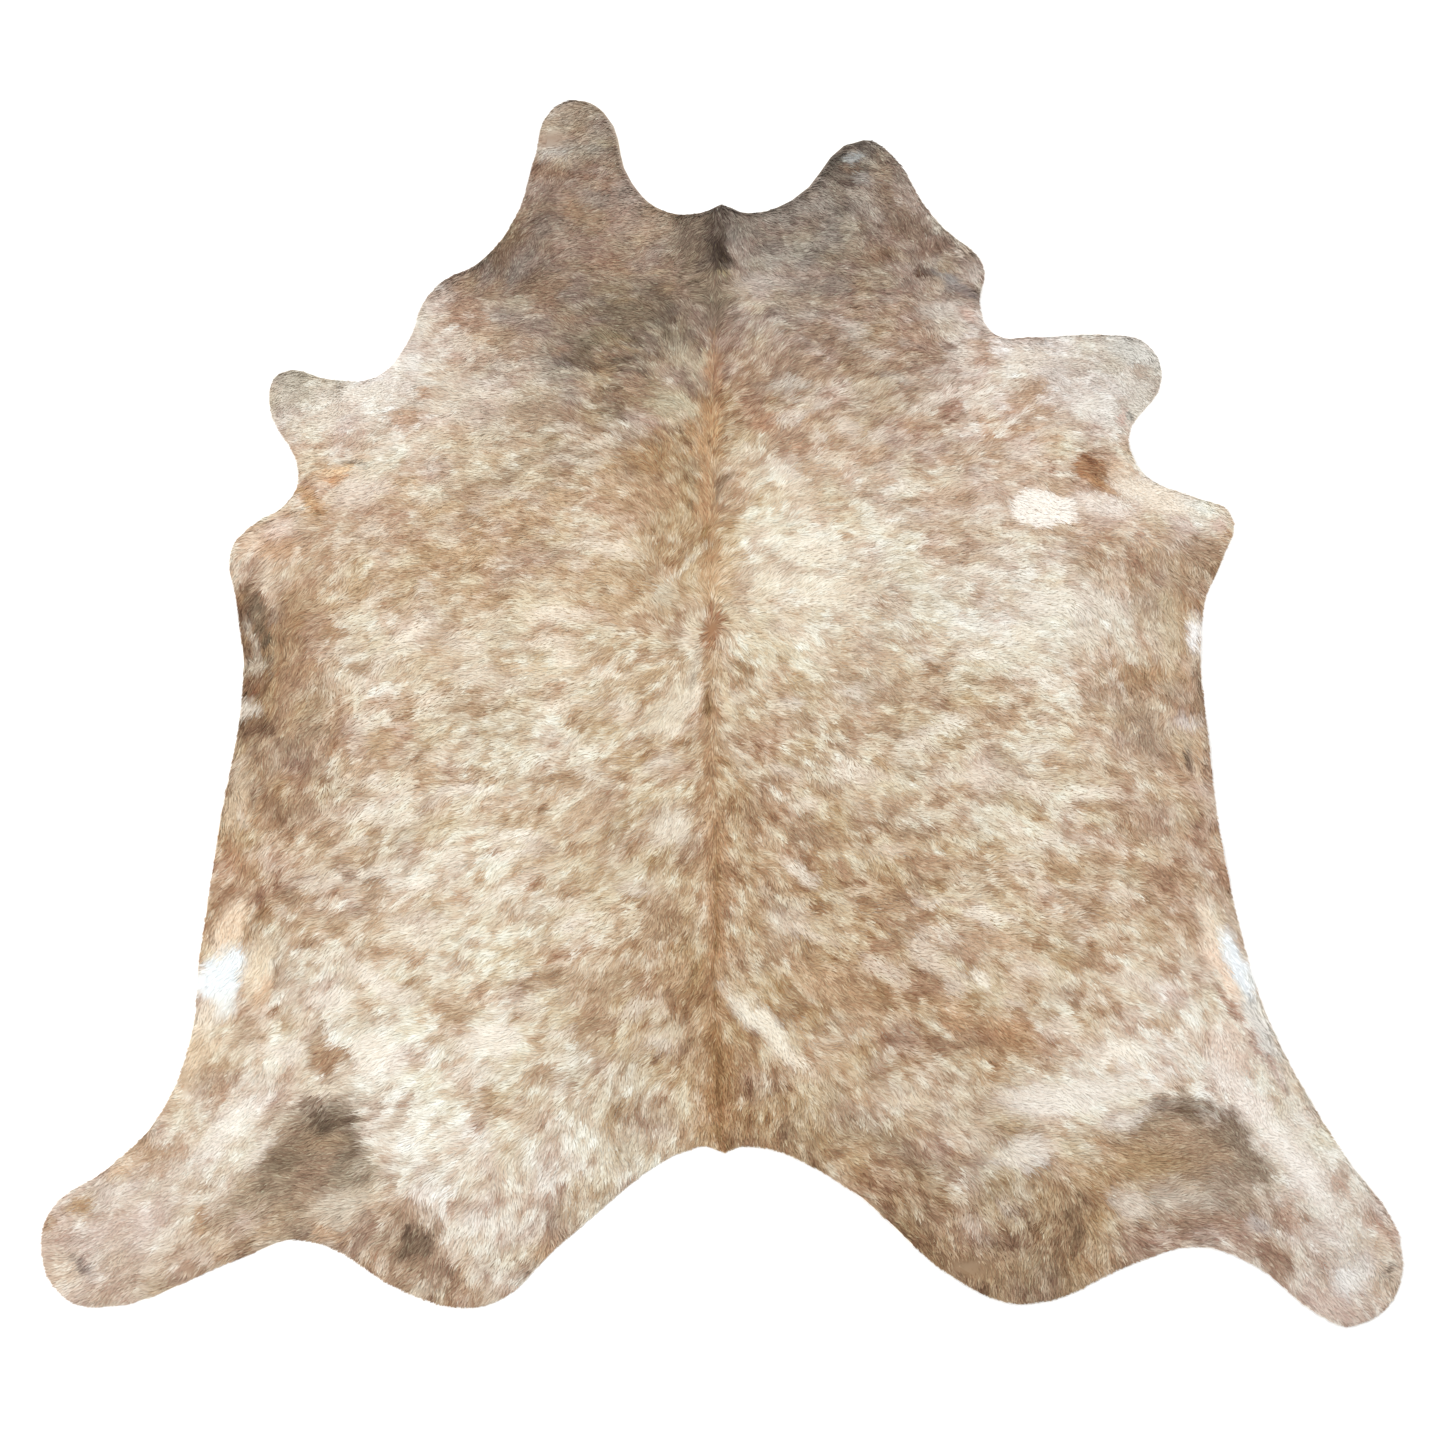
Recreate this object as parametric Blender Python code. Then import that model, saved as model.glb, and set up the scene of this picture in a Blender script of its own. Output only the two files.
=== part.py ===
"""A cowhide rug with the hair on: one whole tanned hide, laid flat, with the neck along +Y and the rump along -Y.

It is a single sheet of leather. The solid takes in the leather and the short hair that lies on it, so it is the
hide as a hand would feel it: thin at the cut rim, fuller inside, low over the body, and lifted off the floor in
the few stiff folds that tanning leaves at the armpits, the groins and along the belly edges. Metres, +Z up.
"""

from math import cos, exp, hypot, pi, radians, sin, sqrt
from typing import NamedTuple

import bmesh
import bpy
from mathutils import Vector

# Leather and hair
LEATHER_THICKNESS = 0.0025
HAIR_DEPTH = 0.0025
RIM_TAPER = 0.015

# How finely the sheet is laid out
CURVE_STEPS = 5
CELL = 0.04
FINE_CELL = 0.02
FLANK_BAND = (0.65, 0.85)
HALF_WIDTH = 0.975
HALF_LENGTH = 1.115
CUT_MARGIN = 0.02

# A swell is left out past this many of its half widths, and the leather rests where less than this lift is left
SWELL_REACH = 2.5
RESTING_LIFT = 0.0002

# The belly edges, cut through thin and stretchy skin, dry into shallow waves that die out inwards
BELLY_WAVE_HEIGHT = 0.005
BELLY_WAVE_PITCH = 0.19
BELLY_WAVE_REACH = 0.07
LEFT_WAVE_SHIFT = 0.4
BELLY_FRONT_Y = 0.06
BELLY_BACK_Y = -0.52
BELLY_EDGE_X = 0.785

SHARP_RIM_DEG = 50
HIDE_COLOUR = (0.62, 0.46, 0.32, 1.0)
HIDE_ROUGHNESS = 0.75


class RimPoint(NamedTuple):
    """A landmark on the cut rim, seen from above. The rim runs smoothly through it unless it is a notch."""

    place: str
    x: float
    y: float
    notch: bool = False


RIM = (
    RimPoint("neck notch", 0.000, 0.870, notch=True),
    RimPoint("right neck bay", 0.050, 0.850),
    RimPoint("right neck rise", 0.130, 0.880),
    RimPoint("right neck lobe", 0.265, 1.020),
    RimPoint("right neck lobe, outer side", 0.315, 0.985),
    RimPoint("right neck side", 0.370, 0.870),
    RimPoint("right neck side, low", 0.405, 0.815),
    RimPoint("right cheek", 0.470, 0.735),
    RimPoint("right shoulder", 0.460, 0.635),
    RimPoint("right shoulder bay", 0.485, 0.580),
    RimPoint("right foreleg, front", 0.550, 0.575),
    RimPoint("right foreleg, middle", 0.680, 0.580),
    RimPoint("right foreleg, corner", 0.745, 0.565),
    RimPoint("right foreleg tip", 0.770, 0.490),
    RimPoint("right armpit", 0.700, 0.360),
    RimPoint("right armpit, back", 0.730, 0.280),
    RimPoint("right elbow, front", 0.800, 0.245),
    RimPoint("right elbow", 0.860, 0.215),
    RimPoint("right elbow, back", 0.835, 0.120),
    RimPoint("right belly, front", 0.800, 0.045),
    RimPoint("right belly", 0.780, -0.210),
    RimPoint("right groin", 0.800, -0.555),
    RimPoint("right thigh", 0.835, -0.705),
    RimPoint("right shank, outer side", 0.895, -0.845),
    RimPoint("right hind tip", 0.975, -1.030),
    RimPoint("right hind foot", 0.895, -1.115),
    RimPoint("right hind foot, inner side", 0.840, -1.095),
    RimPoint("right shank, inner side", 0.770, -1.035),
    RimPoint("right hock bay", 0.685, -1.005),
    RimPoint("right rump, outer side", 0.600, -1.025),
    RimPoint("right rump", 0.435, -1.085),
    RimPoint("right rump, inner side", 0.360, -1.065),
    RimPoint("right rump rise", 0.160, -0.905),
    RimPoint("tail root, right", 0.035, -0.860),
    RimPoint("tail notch", 0.005, -0.870, notch=True),
    RimPoint("tail root, left", -0.030, -0.860),
    RimPoint("left rump rise", -0.235, -1.005),
    RimPoint("left rump, inner side", -0.315, -1.080),
    RimPoint("left rump", -0.370, -1.090),
    RimPoint("left rump, outer side", -0.445, -1.070),
    RimPoint("left hock bay", -0.605, -0.995),
    RimPoint("left shank, inner side", -0.685, -1.020),
    RimPoint("left hind foot", -0.885, -1.090),
    RimPoint("left hind tip, low", -0.940, -1.070),
    RimPoint("left hind tip", -0.975, -1.000),
    RimPoint("left hind tip, high", -0.965, -0.950),
    RimPoint("left shank, outer side", -0.895, -0.895),
    RimPoint("left thigh, low", -0.830, -0.820),
    RimPoint("left thigh", -0.795, -0.710),
    RimPoint("left groin", -0.795, -0.575),
    RimPoint("left belly, back", -0.785, -0.330),
    RimPoint("left belly", -0.775, -0.105),
    RimPoint("left belly, front", -0.800, 0.040),
    RimPoint("left elbow", -0.820, 0.145),
    RimPoint("left elbow, corner", -0.790, 0.190),
    RimPoint("left elbow, front", -0.735, 0.235),
    RimPoint("left armpit", -0.720, 0.290),
    RimPoint("left foreleg, back", -0.785, 0.440),
    RimPoint("left foreleg tip", -0.770, 0.500),
    RimPoint("left foreleg, front", -0.680, 0.485),
    RimPoint("left foreleg bay", -0.605, 0.490),
    RimPoint("left shoulder", -0.550, 0.570),
    RimPoint("left cheek bay", -0.530, 0.650),
    RimPoint("left cheek", -0.495, 0.700),
    RimPoint("left neck side, low", -0.440, 0.735),
    RimPoint("left neck side", -0.375, 0.840),
    RimPoint("left neck side, high", -0.345, 0.975),
    RimPoint("left neck lobe, outer side", -0.315, 1.095),
    RimPoint("left neck lobe", -0.270, 1.115),
    RimPoint("left neck lobe, inner side", -0.220, 1.085),
    RimPoint("left neck rise", -0.165, 0.920),
    RimPoint("left neck bay", -0.105, 0.855),
    RimPoint("left neck notch side", -0.040, 0.850),
)


class Swell(NamedTuple):
    """A soft ridge of the leather: its middle, the way it runs, its half length and half width, and its height."""

    place: str
    x: float
    y: float
    turn_deg: float
    half_length: float
    half_width: float
    height: float


# Folds where the leather itself leaves the floor
FOLDS = (
    Swell("right armpit fold", 0.640, 0.315, 12, 0.110, 0.030, 0.008),
    Swell("right armpit dart", 0.735, 0.262, -18, 0.080, 0.022, 0.006),
    Swell("left armpit fold", -0.610, 0.315, 8, 0.110, 0.030, 0.008),
    Swell("left elbow fold", -0.740, 0.150, 62, 0.070, 0.026, 0.005),
    Swell("right groin fold", 0.745, -0.600, 112, 0.150, 0.028, 0.008),
    Swell("right thigh fold", 0.800, -0.720, 118, 0.120, 0.022, 0.005),
    Swell("left groin fold", -0.705, -0.560, 82, 0.120, 0.028, 0.008),
    Swell("left thigh fold", -0.760, -0.690, 60, 0.090, 0.024, 0.005),
    Swell("left cheek fold", -0.455, 0.640, 40, 0.080, 0.030, 0.004),
    Swell("right cheek fold", 0.430, 0.690, -55, 0.080, 0.030, 0.004),
)

# Places where the hair lies deeper over a hide that stays down on the floor
THICK_PLACES = (
    Swell("backbone, neck to whorl", 0.000, 0.480, 90, 0.330, 0.022, 0.0015),
    Swell("backbone, whorl to tail", 0.000, -0.340, 90, 0.480, 0.026, 0.0020),
    Swell("whorl on the backbone", -0.010, 0.000, 0, 0.035, 0.035, 0.0015),
    Swell("left hock cup", -0.570, -0.830, 30, 0.120, 0.080, 0.0030),
    Swell("right hock cup", 0.640, -0.790, -25, 0.130, 0.080, 0.0030),
    Swell("left shoulder crease", -0.300, 0.700, 25, 0.160, 0.030, 0.0015),
    Swell("right shoulder crease", 0.300, 0.660, -20, 0.160, 0.030, 0.0015),
)


def swell_height(swell, x, y):
    """How high one ridge stands at (x, y), fading out like a bell curve."""
    turn = radians(swell.turn_deg)
    along = (x - swell.x) * cos(turn) + (y - swell.y) * sin(turn)
    across = (y - swell.y) * cos(turn) - (x - swell.x) * sin(turn)
    reach = hypot(along / swell.half_length, across / swell.half_width)
    return swell.height * exp(-(reach**2)) if reach < SWELL_REACH else 0.0


def belly_wave(x, y):
    """Waves along both belly edges, highest at the rim and gone a hand's width inside."""
    inwards = max(0.0, BELLY_EDGE_X - abs(x))
    along = (BELLY_FRONT_Y - y) / (BELLY_FRONT_Y - BELLY_BACK_Y)
    if not 0.0 < along < 1.0 or inwards > BELLY_WAVE_REACH:
        return 0.0
    waves = (BELLY_FRONT_Y - y) / BELLY_WAVE_PITCH + (0.0 if x > 0 else LEFT_WAVE_SHIFT)
    crest = 0.5 - 0.5 * cos(2 * pi * waves)
    ends = sqrt(sin(pi * along))
    return BELLY_WAVE_HEIGHT * crest * ends * (1.0 - inwards / BELLY_WAVE_REACH) ** 2


def lift(x, y):
    """Height of the leather's underside above the floor: zero over nearly all of the hide."""
    folds = sum(swell_height(fold, x, y) for fold in FOLDS)
    return max(0.0, folds + belly_wave(x, y) - RESTING_LIFT)


def hair_depth(x, y):
    """How deep the hair lies on the leather, away from the rim."""
    return HAIR_DEPTH + sum(swell_height(place, x, y) for place in THICK_PLACES)


def rim_curve():
    """The cut rim as a closed Bezier curve with automatic handles, straight-sided only at the two notches."""
    curve = bpy.data.curves.new("cowhide_rim", "CURVE")
    curve.dimensions = "2D"
    curve.fill_mode = "NONE"
    curve.resolution_u = CURVE_STEPS
    spline = curve.splines.new("BEZIER")
    spline.bezier_points.add(len(RIM) - 1)
    for point, landmark in zip(spline.bezier_points, RIM):
        point.co = (landmark.x, landmark.y, 0.0)
        handle = "VECTOR" if landmark.notch else "AUTO"
        point.handle_left_type = handle
        point.handle_right_type = handle
    spline.use_cyclic_u = True
    guide = bpy.data.objects.new("cowhide_rim", curve)
    guide.hide_render = True
    guide.display_type = "WIRE"
    bpy.context.scene.collection.objects.link(guide)
    return guide


def flat_outline(guide):
    """A bmesh with one many-sided face inside the rim curve, that face, and the mark its rim points carry."""
    bpy.context.view_layer.update()
    graph = bpy.context.evaluated_depsgraph_get()
    loop = bpy.data.meshes.new_from_object(guide.evaluated_get(graph))
    sheet = bmesh.new()
    sheet.from_mesh(loop)
    bpy.data.meshes.remove(loop)
    on_rim = sheet.verts.layers.int.new("on_rim")
    bmesh.ops.remove_doubles(sheet, verts=sheet.verts, dist=0.0001)
    for vert in sheet.verts:
        vert[on_rim] = 1
    inside = bmesh.ops.edgeloop_fill(sheet, edges=sheet.edges)["faces"][0]
    return sheet, inside, on_rim


def cut_places(half_span, fine_from=None, fine_to=None):
    """Where the layout lines lie along one axis: every CELL, and every FINE_CELL inside the fine band."""
    places = []
    step = 0.0
    while step < half_span:
        places.append(step)
        in_fine_band = fine_from is not None and fine_from <= step < fine_to
        step += FINE_CELL if in_fine_band else CELL
    return sorted({-place for place in places} | set(places))


def lay_out_cells(sheet, inside):
    """Cuts the inside of the sheet into cells, so that it can follow the folds."""
    lines = [(Vector((x, 0, 0)), Vector((1, 0, 0))) for x in cut_places(HALF_WIDTH - CUT_MARGIN, *FLANK_BAND)]
    lines += [(Vector((0, y, 0)), Vector((0, 1, 0))) for y in cut_places(HALF_LENGTH - CUT_MARGIN)]
    faces = [inside]
    for place, across in lines:
        edges = list({edge for face in faces for edge in face.edges})
        verts = list({vert for face in faces for vert in face.verts})
        cut = bmesh.ops.bisect_plane(sheet, geom=verts + edges + faces, plane_co=place, plane_no=across)
        faces = [part for part in cut["geom"] if isinstance(part, bmesh.types.BMFace)]


def build_hide():
    """The hide: the outline, its tapered rim and its cells, then leather and hair raised from them."""
    sheet, inside, on_rim = flat_outline(rim_curve())
    bmesh.ops.inset_region(sheet, faces=[inside], thickness=RIM_TAPER, use_boundary=True)
    for vert in inside.verts:
        vert[on_rim] = 0
    lay_out_cells(sheet, inside)

    raised = bmesh.ops.extrude_face_region(sheet, geom=list(sheet.faces), use_keep_orig=True)
    top = {part for part in raised["geom"] if isinstance(part, bmesh.types.BMVert)}
    for vert in sheet.verts:
        x, y = vert.co.x, vert.co.y
        vert.co.z = lift(x, y)
        if vert in top:
            vert.co.z += LEATHER_THICKNESS + (0.0 if vert[on_rim] else hair_depth(x, y))
    bmesh.ops.recalc_face_normals(sheet, faces=sheet.faces)

    mesh = bpy.data.meshes.new("cowhide")
    sheet.to_mesh(mesh)
    sheet.free()
    mesh.shade_smooth()
    mesh.set_sharp_from_angle(angle=radians(SHARP_RIM_DEG))
    mesh.materials.append(hide_material())
    hide = bpy.data.objects.new("cowhide", mesh)
    bpy.context.scene.collection.objects.link(hide)


def hide_material():
    """Tanned leather with the hair on, in the middle tone of the coat."""
    material = bpy.data.materials.new("haired_leather")
    material.use_nodes = True
    shader = material.node_tree.nodes["Principled BSDF"]
    shader.inputs["Base Color"].default_value = HIDE_COLOUR
    shader.inputs["Roughness"].default_value = HIDE_ROUGHNESS
    shader.inputs["Metallic"].default_value = 0.0
    return material


for old in list(bpy.data.objects):
    bpy.data.objects.remove(old, do_unlink=True)

build_hide()
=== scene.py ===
"""The looks of a cowhide rug: one whole tanned hide with its hair on, laid flat, hair side up.

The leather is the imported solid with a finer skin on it. The hair is some 420,000 small locks that lie along
the real coat's growth and take its brindle colours from tables of named places. The tables of places on the
hide are in millimetres, and all else is in metres. +Z is up, the neck lies along +Y and the rump along -Y.
"""

import math

import bmesh
import bpy
import numpy as np
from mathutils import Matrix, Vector
from mathutils.bvhtree import BVHTree


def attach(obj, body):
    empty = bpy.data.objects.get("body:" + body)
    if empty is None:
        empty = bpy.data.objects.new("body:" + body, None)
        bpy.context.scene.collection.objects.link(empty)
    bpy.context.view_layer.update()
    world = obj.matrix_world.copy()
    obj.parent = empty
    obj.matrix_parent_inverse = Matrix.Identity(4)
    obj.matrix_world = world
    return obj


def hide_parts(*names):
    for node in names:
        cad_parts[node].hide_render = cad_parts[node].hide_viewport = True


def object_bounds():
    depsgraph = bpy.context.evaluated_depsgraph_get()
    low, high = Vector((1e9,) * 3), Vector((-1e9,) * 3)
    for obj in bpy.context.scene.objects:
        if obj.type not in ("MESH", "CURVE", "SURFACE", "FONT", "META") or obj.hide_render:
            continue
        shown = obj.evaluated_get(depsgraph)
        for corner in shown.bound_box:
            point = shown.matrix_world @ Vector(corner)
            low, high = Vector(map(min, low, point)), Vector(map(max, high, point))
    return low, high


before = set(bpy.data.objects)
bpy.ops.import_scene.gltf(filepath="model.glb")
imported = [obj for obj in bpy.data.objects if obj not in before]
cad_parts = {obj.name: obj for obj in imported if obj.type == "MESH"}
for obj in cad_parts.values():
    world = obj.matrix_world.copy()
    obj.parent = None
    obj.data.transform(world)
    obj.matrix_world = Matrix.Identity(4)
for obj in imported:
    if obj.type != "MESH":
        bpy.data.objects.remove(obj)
cad_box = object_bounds()


# The camera
# The photograph looks down on the hide from over the rump end, 65 degrees above the floor, along the spine.
# Its distance makes the hind shanks' real span of 1.95 m fill the frame as it does there. The lens and the
# sensor are in millimetres.
LENS = 50
SENSOR_WIDTH = 36
VIEW_ELEVATION = math.radians(65)
VIEW_DISTANCE = 3.2334
VIEW_AIM = Vector((0.0024, -0.1752, 0.0))

camera = bpy.data.objects.new("camera", bpy.data.cameras.new("camera"))
camera.data.lens = LENS
camera.data.sensor_width = SENSOR_WIDTH
towards_camera = Vector((0, -math.cos(VIEW_ELEVATION), math.sin(VIEW_ELEVATION)))
camera.location = VIEW_AIM + VIEW_DISTANCE * towards_camera
camera.rotation_euler = (math.pi / 2 - VIEW_ELEVATION, 0, 0)
bpy.context.scene.collection.objects.link(camera)
bpy.context.scene.camera = camera
bpy.context.scene.view_settings.view_transform = "Standard"


# The floor and the lights
# A plain studio sweep of matt white paper, lit by an even white room, a wide soft box to the front left and
# a weaker one behind, so that the hair keeps its true colours and still shows its lie.
FLOOR_SIDE = 14
FLOOR_COLOUR = "#FBFBFA"
ROOM_LIGHT = 0.70
SOFT_BOXES = (
    # name, place, side, watts
    ("soft_box_front", (-2.2, -0.8, 3.2), 1.8, 80),
    ("soft_box_back", (2.0, 1.9, 3.4), 2.2, 68),
)


def linear(text):
    """An sRGB hex colour as linear red, green, blue and alpha."""
    srgb = np.array([int(text[i:i + 2], 16) for i in (1, 3, 5)]) / 255
    bright = np.where(srgb <= 0.04045, srgb / 12.92, ((srgb + 0.055) / 1.055) ** 2.4)
    return (*(float(c) for c in bright), 1.0)


def add_node(tree, kind, settings, inputs, output=None):
    """Adds a node with its settings. An input is given another node's output, or a plain value.
    Returns the named output, or the first one that is in use."""
    node = tree.nodes.new(kind)
    for name, value in settings.items():
        setattr(node, name, value)
    for name, value in inputs.items():
        socket = next(s for s in node.inputs if s.enabled and s.name == name)
        if isinstance(value, bpy.types.NodeSocket):
            tree.links.new(value, socket)
        else:
            socket.default_value = value
    return next((s for s in node.outputs if s.enabled and output in (None, s.name)), None)


def new_material(name):
    """An empty node material, and its tree."""
    material = bpy.data.materials.new(name)
    material.use_nodes = True
    material.node_tree.nodes.clear()
    return material, material.node_tree


def finish_material(tree, surface):
    """Joins the shader to the material's output."""
    add_node(tree, "ShaderNodeOutputMaterial", {}, {"Surface": surface})


# Matt paper: no shine, and near white, so that the hide's rim reads clearly against it.
paper, tree = new_material("matt_white_paper")
shader = add_node(
    tree, "ShaderNodeBsdfPrincipled", {},
    {"Base Color": linear(FLOOR_COLOUR), "Roughness": 0.95, "Specular IOR Level": 0.1},
)
finish_material(tree, shader)

bm = bmesh.new()
bmesh.ops.create_grid(bm, x_segments=1, y_segments=1, size=FLOOR_SIDE / 2)
floor = bpy.data.objects.new("floor", bpy.data.meshes.new("floor"))
bm.to_mesh(floor.data)
bm.free()
floor.data.materials.append(paper)
bpy.context.scene.collection.objects.link(floor)

for name, place, side, watts in SOFT_BOXES:
    lamp = bpy.data.lights.new(name, "AREA")
    lamp.shape = "SQUARE"
    lamp.size = side
    lamp.energy = watts
    box = bpy.data.objects.new(name, lamp)
    box.location = place
    box.rotation_euler = (-Vector(place)).to_track_quat("-Z", "Y").to_euler()
    bpy.context.scene.collection.objects.link(box)

world = bpy.data.worlds.new("white room")
bpy.context.scene.world = world
world.use_nodes = True
background = world.node_tree.nodes["Background"]
background.inputs["Color"].default_value = (1.0, 1.0, 1.0, 1.0)
background.inputs["Strength"].default_value = ROOM_LIGHT


# The lay of the hair
# Cattle hair grows out of a whorl on the back. Ahead of it the hair runs to the withers, where it meets the
# hair of the neck, and behind it to the tail and feet. The skin is as it grew on the animal, so its two
# sides mirror each other loosely and part along the spine.
HAIR_LAY = (
    # place, x, y in millimetres, degrees that the tips point to: 0 is to the right, 90 to the head
    ("left of the neck notch", -40, 800, 250),
    ("left side of the neck", -120, 780, 205),
    ("middle of the left neck", -200, 780, 188),
    ("outer left neck", -300, 850, 200),
    ("left neck lobe", -250, 1040, 215),
    ("left neck edge", -350, 920, 255),
    ("left cheek", -380, 780, 255),
    ("left neck crease", -150, 700, 185),
    ("right of the neck notch", 30, 800, 285),
    ("right side of the neck", 100, 800, 350),
    ("middle of the right neck", 200, 750, 345),
    ("right neck lobe", 250, 1000, 325),
    ("outer right neck", 300, 800, 305),
    ("right cheek", 360, 800, 290),
    ("under the right neck", 150, 640, 350),
    ("outer right shoulder top", 380, 620, 325),
    ("left withers", -70, 550, 118),
    ("left withers low", -60, 350, 122),
    ("left shoulder blade", -200, 570, 158),
    ("left shoulder side", -180, 400, 168),
    ("left shoulder", -400, 600, 195),
    ("left foreleg root", -500, 500, 187),
    ("left foreleg", -680, 420, 212),
    ("left shoulder low", -330, 380, 182),
    ("left elbow", -620, 250, 205),
    ("left ribs front", -450, 220, 187),
    ("left ribs", -250, 180, 180),
    ("left of the whorl, ahead", -60, 120, 62),
    ("left of the whorl", -70, 20, 140),
    ("left back", -150, 80, 168),
    ("left side", -450, 50, 195),
    ("left side low", -600, 0, 222),
    ("left belly front", -680, 80, 240),
    ("left belly", -680, -120, 252),
    ("left belly edge", -750, -50, 262),
    ("left belly back", -710, -320, 258),
    ("left loin, near", -50, -100, 245),
    ("left loin", -150, -100, 215),
    ("left flank top", -300, -100, 197),
    ("left flank", -480, -200, 207),
    ("left croup, spine", -30, -500, 262),
    ("left croup, near", -80, -500, 245),
    ("left croup", -150, -500, 225),
    ("left hip top", -250, -500, 211),
    ("left hip", -450, -500, 210),
    ("left thigh front", -600, -450, 217),
    ("left groin", -740, -550, 250),
    ("left thigh", -700, -720, 238),
    ("left shank", -760, -830, 228),
    ("left hind foot", -860, -960, 217),
    ("left hock", -600, -880, 190),
    ("left rump side", -450, -800, 207),
    ("left rump", -300, -700, 210),
    ("left rump edge", -400, -1030, 255),
    ("left of the tail", -80, -750, 250),
    ("left of the tail root", -40, -840, 265),
    ("left tail edge", -200, -920, 262),
    ("right withers", 50, 550, 52),
    ("right withers low", 50, 300, 42),
    ("right shoulder blade", 150, 450, 30),
    ("right shoulder", 300, 440, 21),
    ("right foreleg root", 460, 440, 16),
    ("right foreleg", 640, 500, 345),
    ("right foreleg tip", 720, 500, 315),
    ("right of the whorl, ahead", 50, 100, 18),
    ("right of the whorl", 50, -10, 335),
    ("right ribs", 200, 170, 8),
    ("right ribs low", 380, 200, 6),
    ("right side", 450, 20, 356),
    ("right elbow front", 600, 280, 340),
    ("right elbow", 760, 220, 330),
    ("right belly front", 720, 80, 288),
    ("right belly", 700, -100, 285),
    ("right belly edge", 770, -100, 275),
    ("right belly back", 710, -320, 296),
    ("right loin, near", 50, -90, 310),
    ("right loin", 120, -100, 323),
    ("right flank top", 250, -100, 341),
    ("right flank", 480, -180, 342),
    ("right flank low", 600, -280, 326),
    ("right croup, spine", 30, -500, 283),
    ("right croup, near", 80, -500, 303),
    ("right croup", 150, -500, 319),
    ("right hip top", 250, -500, 330),
    ("right hip", 480, -500, 335),
    ("right thigh front", 620, -580, 320),
    ("right thigh", 710, -640, 304),
    ("right groin", 790, -620, 290),
    ("right shank", 800, -840, 306),
    ("right hind foot", 890, -1000, 300),
    ("right hock", 680, -880, 352),
    ("right rump side", 450, -800, 333),
    ("right rump", 200, -660, 321),
    ("right rump low", 250, -880, 318),
    ("right rump edge", 450, -1020, 280),
    ("right of the tail root", 50, -820, 281),
)

# The lay blends softly between its places, parts over a narrow strip at the spine and swirls at the whorl.
LAY_SOFTNESS = 0.03
SPINE_X = -0.012
SPINE_PARTING = 0.018
WHORL = (-0.015, -0.008)
WHORL_REACH = 0.045
WHORL_SWIRL = math.radians(-42)
NEARLY_NOTHING = 1e-6

# The lay and the colours are kept on a grid of small cells over the hide's box, and read between its
# points. A place past the grid is read just short of the grid's last point.
CELL = 0.002
COARSE_CELLS = 4
GRID_MARGIN = 0.02
SHORT_OF_END = 1.001
GRID_LEFT = cad_box[0].x - GRID_MARGIN
GRID_BACK = cad_box[0].y - GRID_MARGIN
GRID_WIDE = COARSE_CELLS * math.ceil((cad_box[1].x + GRID_MARGIN - GRID_LEFT) / CELL / COARSE_CELLS) + 1
GRID_LONG = COARSE_CELLS * math.ceil((cad_box[1].y + GRID_MARGIN - GRID_BACK) / CELL / COARSE_CELLS) + 1


def metres(*millimetres):
    """The tables' millimetres as metres."""
    return [size / 1000 for size in millimetres]


def grid_places(step=1):
    """The x and y of the grid's points, or of each step-th one."""
    along = GRID_LEFT + CELL * np.arange(0, GRID_WIDE, step, dtype=np.float32)
    back = GRID_BACK + CELL * np.arange(0, GRID_LONG, step, dtype=np.float32)
    return np.meshgrid(along, back)


def read_grid(field, x, y, step=1):
    """The field's values at places x, y, between the points of a grid with every step-th point."""
    u = np.clip((x - GRID_LEFT) / (CELL * step), 0, field.shape[1] - SHORT_OF_END)
    v = np.clip((y - GRID_BACK) / (CELL * step), 0, field.shape[0] - SHORT_OF_END)
    i = u.astype(np.int32)
    j = v.astype(np.int32)
    right = u - i
    ahead = v - j
    if field.ndim == 3:
        right = right[..., None]
        ahead = ahead[..., None]
    near = field[j, i] * (1 - right) + field[j, i + 1] * right
    far = field[j + 1, i] * (1 - right) + field[j + 1, i + 1] * right
    return near * (1 - ahead) + far * ahead


def lay_of_side(x, y, side):
    """The way the hair lies by the table's rows on one side of the spine, as a field of x and y parts."""
    total = np.zeros((*x.shape, 2), np.float32)
    for _, row_x, row_y, degrees in HAIR_LAY:
        row_x, row_y = metres(row_x, row_y)
        if (row_x - SPINE_X) * side <= 0:
            continue
        away = (x - row_x) ** 2 + (y - row_y) ** 2
        weight = 1 / (away + LAY_SOFTNESS ** 2) ** 2
        total[..., 0] += weight * math.cos(math.radians(degrees))
        total[..., 1] += weight * math.sin(math.radians(degrees))
    return total / np.linalg.norm(total, axis=-1, keepdims=True)


def lay_field(x, y):
    """The way the hair lies at each point of the grid: both sides, parted at the spine, and the whorl."""
    coarse = grid_places(COARSE_CELLS)
    left = read_grid(lay_of_side(*coarse, -1), x, y, COARSE_CELLS)
    right = read_grid(lay_of_side(*coarse, 1), x, y, COARSE_CELLS)
    share = np.clip((x - SPINE_X) / SPINE_PARTING + 0.5, 0, 1)[..., None]
    lay = left * (1 - share) + right * share
    from_whorl = np.stack([x - WHORL[0], y - WHORL[1]], -1)
    distance = np.linalg.norm(from_whorl, axis=-1, keepdims=True) + NEARLY_NOTHING
    cosine = math.cos(WHORL_SWIRL)
    sine = math.sin(WHORL_SWIRL)
    swirl = from_whorl / distance @ np.array([[cosine, sine], [-sine, cosine]])
    pull = np.exp(-(distance / WHORL_REACH) ** 2)
    lay = lay * (1 - pull) + swirl * pull
    return (lay / (np.linalg.norm(lay, axis=-1, keepdims=True) + NEARLY_NOTHING)).astype(np.float32)


grid_x, grid_y = grid_places()
lay = lay_field(grid_x, grid_y)


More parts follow.
